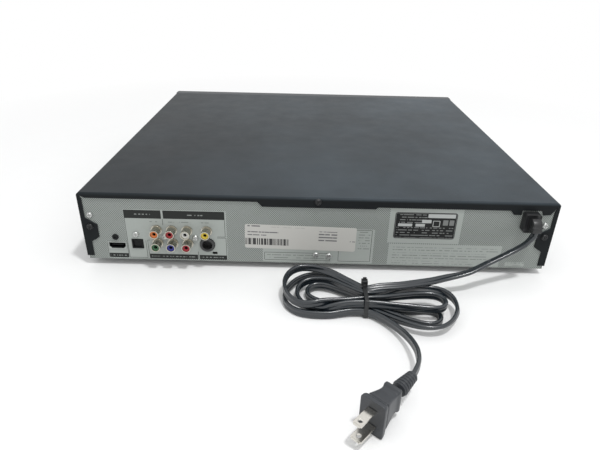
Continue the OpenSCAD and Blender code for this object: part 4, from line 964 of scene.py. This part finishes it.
def make_tie():
    """Flat band round the waist of the hank, with its head over the first strands and a short tail."""
    band = new_block("hank_tie", *TIE_BAND)
    start_edit()
    pick_faces(lambda normal: abs(normal.x) > 0.9)
    inset(BAND_THICK)
    bpy.ops.mesh.bridge_edge_loops()
    pick_edges(lambda a, b: abs(a.x - b.x) > 3)
    round_edges(BAND_CORNER, 4)
    end_edit()
    soften(band, 0.3, 40)
    head = new_block("tie_head", *TIE_HEAD)
    start_edit()
    pick_faces(lambda normal: abs(normal.y) > 0.9)
    inset(1.0)
    extrude(0, 0, 0)
    middle = (mm(*TIE_HEAD[0]) + mm(*TIE_HEAD[1])) / 2
    bpy.ops.transform.resize(value=(0.92, 0.5, 0.92), center_override=middle)
    end_edit()
    soften(head, 0.35)
    tail = new_block("tie_tail", *TIE_TAIL)
    soften(tail, 0.3)
    made = paint(join(band, head, tail), finishes["black_plastic"])
    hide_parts("cord_tie")
    return made


BUSH_LOW, BUSH_HIGH = (-197.4, 197.6, 48.4), (-183.4, 206.0, 66.2)
NOSE_LOW, NOSE_HIGH = (-194.9, 205.0, 53.2), (-187.0, 216.4, 64.4)
NOSE_BEND, NOSE_DROP = 7.5, 2.2
NOSE_RIBS = (55.6, 58.4)
RIB_HALF, RIB_RISE, RIB_DEPTH = 0.6, 0.45, 6.5


def make_bush():
    """Block that holds the cord in the panel, with a ribbed nose that turns the cord down."""
    block = new_block("cord_guard", BUSH_LOW, BUSH_HIGH)
    start_edit()
    pick_edges(lambda a, b: abs(a.y - b.y) > 5)
    round_edges(1.5, 3)
    pick_faces(lambda normal: normal.y > 0.9)
    inset(1.1)
    shift(0, -0.8, 0)
    end_edit()
    soften(block, 0.4)
    nose = new_block("guard_nose", NOSE_LOW, NOSE_HIGH)
    start_edit()
    pick_edges(lambda a, b: min(a.y, b.y) > NOSE_HIGH[1] - 1 and min(a.z, b.z) > NOSE_HIGH[2] - 1)
    round_edges(NOSE_BEND, 5)
    pick_faces(lambda normal: normal.y < -0.9)
    shift(0, 0, -NOSE_DROP)
    end_edit()
    soften(nose, 0.7)
    ribs = []
    for z in NOSE_RIBS:
        low = (NOSE_LOW[0] - RIB_RISE, NOSE_HIGH[1] - RIB_DEPTH, z - RIB_HALF)
        high = (NOSE_HIGH[0] + RIB_RISE, NOSE_HIGH[1] + 0.1, z + RIB_HALF)
        rib = new_block("guard_rib", low, high)
        soften(rib, 0.3)
        ribs.append(rib)
    made = paint(join(block, nose, *ribs), finishes["black_plastic"])
    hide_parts("cord_bush")
    return made


plug = make_plug()
tie = make_tie()
bush = make_bush()
paint(cord, cord_rubber())
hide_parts("cord_tube", "cord_hank")

# ---------------- sticker and plate on the rear panel

PANEL_FACE = 198.0
STICKER = dict(size=(102.4, 24.8), middle=(15.1, 33.55), corner=1.8, thickness=0.18, tilt=STICKER_TILT)
PLATE = dict(size=(56.1, 26.5), middle=(-97.95, 49.15), corner=2.2, thickness=0.12)


def make_label(name, finish, size, middle, corner, thickness, tilt=0.0):
    """Thin printed piece with round corners that lies on the rear panel."""
    wide, tall = size
    made = new_block(name, (-wide / 2, 0, -tall / 2), (wide / 2, thickness, tall / 2))
    start_edit()
    pick_edges(lambda a, b: abs(a.y - b.y) > thickness / 2)
    round_edges(corner, 6)
    pick_faces(lambda normal: normal.y > 0.9)
    inset(0.25)
    shift(0, 0.03, 0)
    end_edit()
    made.location = mm(middle[0], PANEL_FACE, middle[1])
    made.rotation_euler = (0, math.radians(-tilt), 0)
    apply_place()
    paint(made, finish)


make_label("rear_sticker", sticker_paper(), **STICKER)
make_label("rating_plate", plate_black(), **PLATE)

# ---------------- small fittings on the rear panel

SLOT_MIDDLE = (185.4, 21.4)
SLOT_CUT_CORNER = 2.3
STUD_MIDDLE, STUD_RADIUS = (186.3, 30.2), 3.0
CROSS_LONG, CROSS_WIDE = 2.4, 0.7


def panel_block(name, middle, half_size, back, front):
    """A block by its middle and half size in X and Z, and its reach behind and before the panel's face."""
    (x, z), (half_x, half_z) = middle, half_size
    return new_block(name, (x - half_x, PANEL_FACE - back, z - half_z),
                     (x + half_x, PANEL_FACE + front, z + half_z))


def make_video_slot():
    """Flat socket behind a plate whose opening has its lower corners cut off, with a tongue inside."""
    x, z = SLOT_MIDDLE
    plate = panel_block("slot_plate", SLOT_MIDDLE, (8.4, 3.75), 0.05, 0.7)
    cutter = panel_block("cutter", SLOT_MIDDLE, (7.7, 3.05), 1, 2)
    start_edit()
    pick_edges(lambda a, b: abs(a.y - b.y) > 0.5 and max(a.z, b.z) < z)
    round_edges(SLOT_CUT_CORNER, 1)
    end_edit()
    cut(plate, cutter)
    soften(plate, 0.15)
    paint(plate, finishes["panel_steel"])
    made = panel_block("video_slot", SLOT_MIDDLE, (7.9, 3.2), 10, -0.1)
    start_edit()
    pick_faces(lambda normal: normal.y > 0.9)
    inset(0.9)
    extrude(0, -6, 0)
    end_edit()
    tongue = panel_block("slot_tongue", (x, z + 0.65), (5.4, 0.55), 7, -0.5)
    soften(tongue, 0.15)
    paint(join(made, tongue), socket_black)
    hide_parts("hdmi_socket")


def make_stud():
    """Low black screw head with a cross recess."""
    x, z = STUD_MIDDLE
    made = new_disc("black_stud", STUD_RADIUS, 32, (x, PANEL_FACE - 0.2, z), (-math.pi / 2, 0, 0))
    start_edit()
    extrude(0, 0.9, 0)
    inset(0.5)
    shift(0, 0.45, 0)
    inset(0.9)
    shift(0, 0.15, 0)
    end_edit()
    for wide, tall in ((CROSS_LONG, CROSS_WIDE), (CROSS_WIDE, CROSS_LONG)):
        cut(made, panel_block("cutter", STUD_MIDDLE, (wide / 2, tall / 2), -0.5, 2.5))
    soften(made, 0.12)
    paint(made, socket_black)


make_video_slot()
make_stud()

# ---------------- marks on the buttons and the turntable

BUTTON_FACE = -207.0
BUTTON_Z = 18.5
MARK_RISE, MARK_ROOT = 0.15, 0.1
MARK_EDGE = 0.06


def mark_block(name, x, z, width, height):
    made = new_block(name, (x - width / 2, BUTTON_FACE - MARK_RISE, z - height / 2),
                     (x + width / 2, BUTTON_FACE + MARK_ROOT, z + height / 2))
    soften(made, MARK_EDGE)
    return made


def mark_disc(name, x, z, radius, sides=36, turned=0.0, line=None):
    """A raised disc, or a ring with the given width of line."""
    made = new_disc(name, radius, sides, (x, BUTTON_FACE + MARK_ROOT, z), (math.pi / 2, turned, 0))
    start_edit()
    if line:
        inset(line)
        bpy.ops.mesh.delete(type="FACE")
        select_all()
    extrude(0, -(MARK_RISE + MARK_ROOT), 0)
    end_edit()
    soften(made, MARK_EDGE)
    return made


def make_marks():
    """Plain raised signs that any player has, each on its own button."""
    ink = plain("mark_ink", (0.10, 0.105, 0.11), 0.4, scale=2000, edge=None)
    marks = {
        "open_button": [mark_disc("open_mark", 104, BUTTON_Z + 0.6, 1.9, sides=3),
                        mark_block("open_bar", 104, BUTTON_Z - 1.7, 3.3, 0.7)],
        "disc_button": [mark_disc("disc_mark", 126, BUTTON_Z, 2.3, line=0.55),
                        mark_disc("disc_hole", 126, BUTTON_Z, 0.8, line=0.35)],
        "play_button": [mark_disc("play_mark", 148, BUTTON_Z, 2.1, sides=3, turned=math.pi / 2)],
        "pause_button": [mark_block("pause_mark", 169, BUTTON_Z, 0.9, 3.4),
                         mark_block("pause_bar", 171, BUTTON_Z, 0.9, 3.4)],
        "stop_button": [mark_block("stop_mark", 192, BUTTON_Z, 3.1, 3.1)],
        "power_button": [mark_disc("power_mark", -190, BUTTON_Z - 0.2, 2.6, line=0.5),
                         mark_block("power_bar", -190, BUTTON_Z + 2.3, 0.6, 2.6)],
    }
    for body, pieces in marks.items():
        paint(join(*pieces), ink, body)


WELLS = 5
WELL_TURN = 28.0
TURNTABLE_MIDDLE = (0.0, -30.0)
TURNTABLE_TOP = 51.0
DIGIT_REACH = 152.0
DIGIT_SIZE, DIGIT_RISE = 10, 0.15


def make_digits():
    """A plain number beside each disc well."""
    ink = plain("digit_ink", (0.34, 0.35, 0.36), 0.45, scale=2000, edge=None)
    for i in range(WELLS):
        angle = math.radians(90 + 360 / WELLS * i + WELL_TURN)
        x = TURNTABLE_MIDDLE[0] + DIGIT_REACH * math.cos(angle)
        y = TURNTABLE_MIDDLE[1] + DIGIT_REACH * math.sin(angle)
        deselect()
        bpy.ops.object.text_add(location=mm(x, y, TURNTABLE_TOP - 0.1), rotation=(0, 0, angle - math.pi / 2))
        text = bpy.context.object
        text.name = f"well_number_{i + 1}"
        text.data.body = str(i + 1)
        text.data.size = DIGIT_SIZE * MM
        text.data.align_x = text.data.align_y = "CENTER"
        text.data.extrude = DIGIT_RISE * MM
        bpy.ops.object.convert(target="MESH")
        apply_place()
        paint(bpy.context.object, ink, "carousel")


make_marks()
make_digits()

# ---------------- floor and light

FLOOR_SIZE = 24.0
WHITE_FROM, WHITE_TO = 0.42, 0.75
KEY_LIGHT = dict(place=(-0.32, 0.60, 1.6), target=(0.0, 0.15, 0.0), size=0.13, power=12.5)
FILL_LIGHT = dict(place=(0.0, 1.2, 2.4), target=(0.0, 0.1, 0.0), size=2.4, power=4.0)
SKY_SEEN, SKY_LIGHT = 1.0, 0.82


def make_floor():
    """Pale floor that keeps its shadows near the object and is plain white far from it."""
    deselect()
    bpy.ops.mesh.primitive_grid_add(size=FLOOR_SIZE, x_subdivisions=2, y_subdivisions=2, location=(0, 0, 0))
    floor = bpy.context.object
    floor.name = floor.data.name = "floor"
    made = Finish("floor_white", (0.87, 0.875, 0.875), 0.62, scale=60, mottle=0.01, grain=0.01, bump=0.02,
                  edge=None)
    floor.data.materials.append(made.done())
    flat = made.vector_calc("MULTIPLY", made.place, (1.0, 1.0, 0.0))
    past = made.minus(made.vector_calc("LENGTH", flat), WHITE_FROM)
    far = made.calc("DIVIDE", past, WHITE_TO - WHITE_FROM, clamp=True)
    seen = made.times(far, made.node("LightPath").outputs["Is Camera Ray"])
    white = made.node("Emission").outputs[0]
    made.fill(made.output, Surface=made.feed(made.node("MixShader"), seen, made.shader.outputs[0], white))


def area_light(name, place, target, size, power):
    data = bpy.data.lights.new(name, "AREA")
    data.shape = "SQUARE"
    data.size = size
    data.energy = power
    lamp = bpy.data.objects.new(name, data)
    bpy.context.scene.collection.objects.link(lamp)
    lamp.location = place
    lamp.rotation_euler = (Vector(target) - Vector(place)).to_track_quat("-Z", "Y").to_euler()


def make_sky():
    """Even white sky: full white where it is seen or mirrored, softer where it lights."""
    world = bpy.data.worlds.new("sky")
    bpy.context.scene.world = world
    world.use_nodes = True
    world.node_tree.nodes.clear()
    made = Nodes(world.node_tree)
    rays = made.node("LightPath").outputs
    mirrored = made.calc("MAXIMUM", rays["Is Glossy Ray"], rays["Is Transmission Ray"])
    seen = made.calc("MAXIMUM", rays["Is Camera Ray"], mirrored)
    strength = made.plus(SKY_LIGHT, made.times(seen, SKY_SEEN - SKY_LIGHT))
    sky = made.node("Background", Color=(1.0, 1.0, 1.0, 1.0), Strength=strength)
    made.node("OutputWorld", Surface=sky.outputs[0])


make_floor()
area_light("key_light", **KEY_LIGHT)
area_light("fill_light", **FILL_LIGHT)
make_sky()
bpy.context.scene.view_settings.view_transform = "Standard"
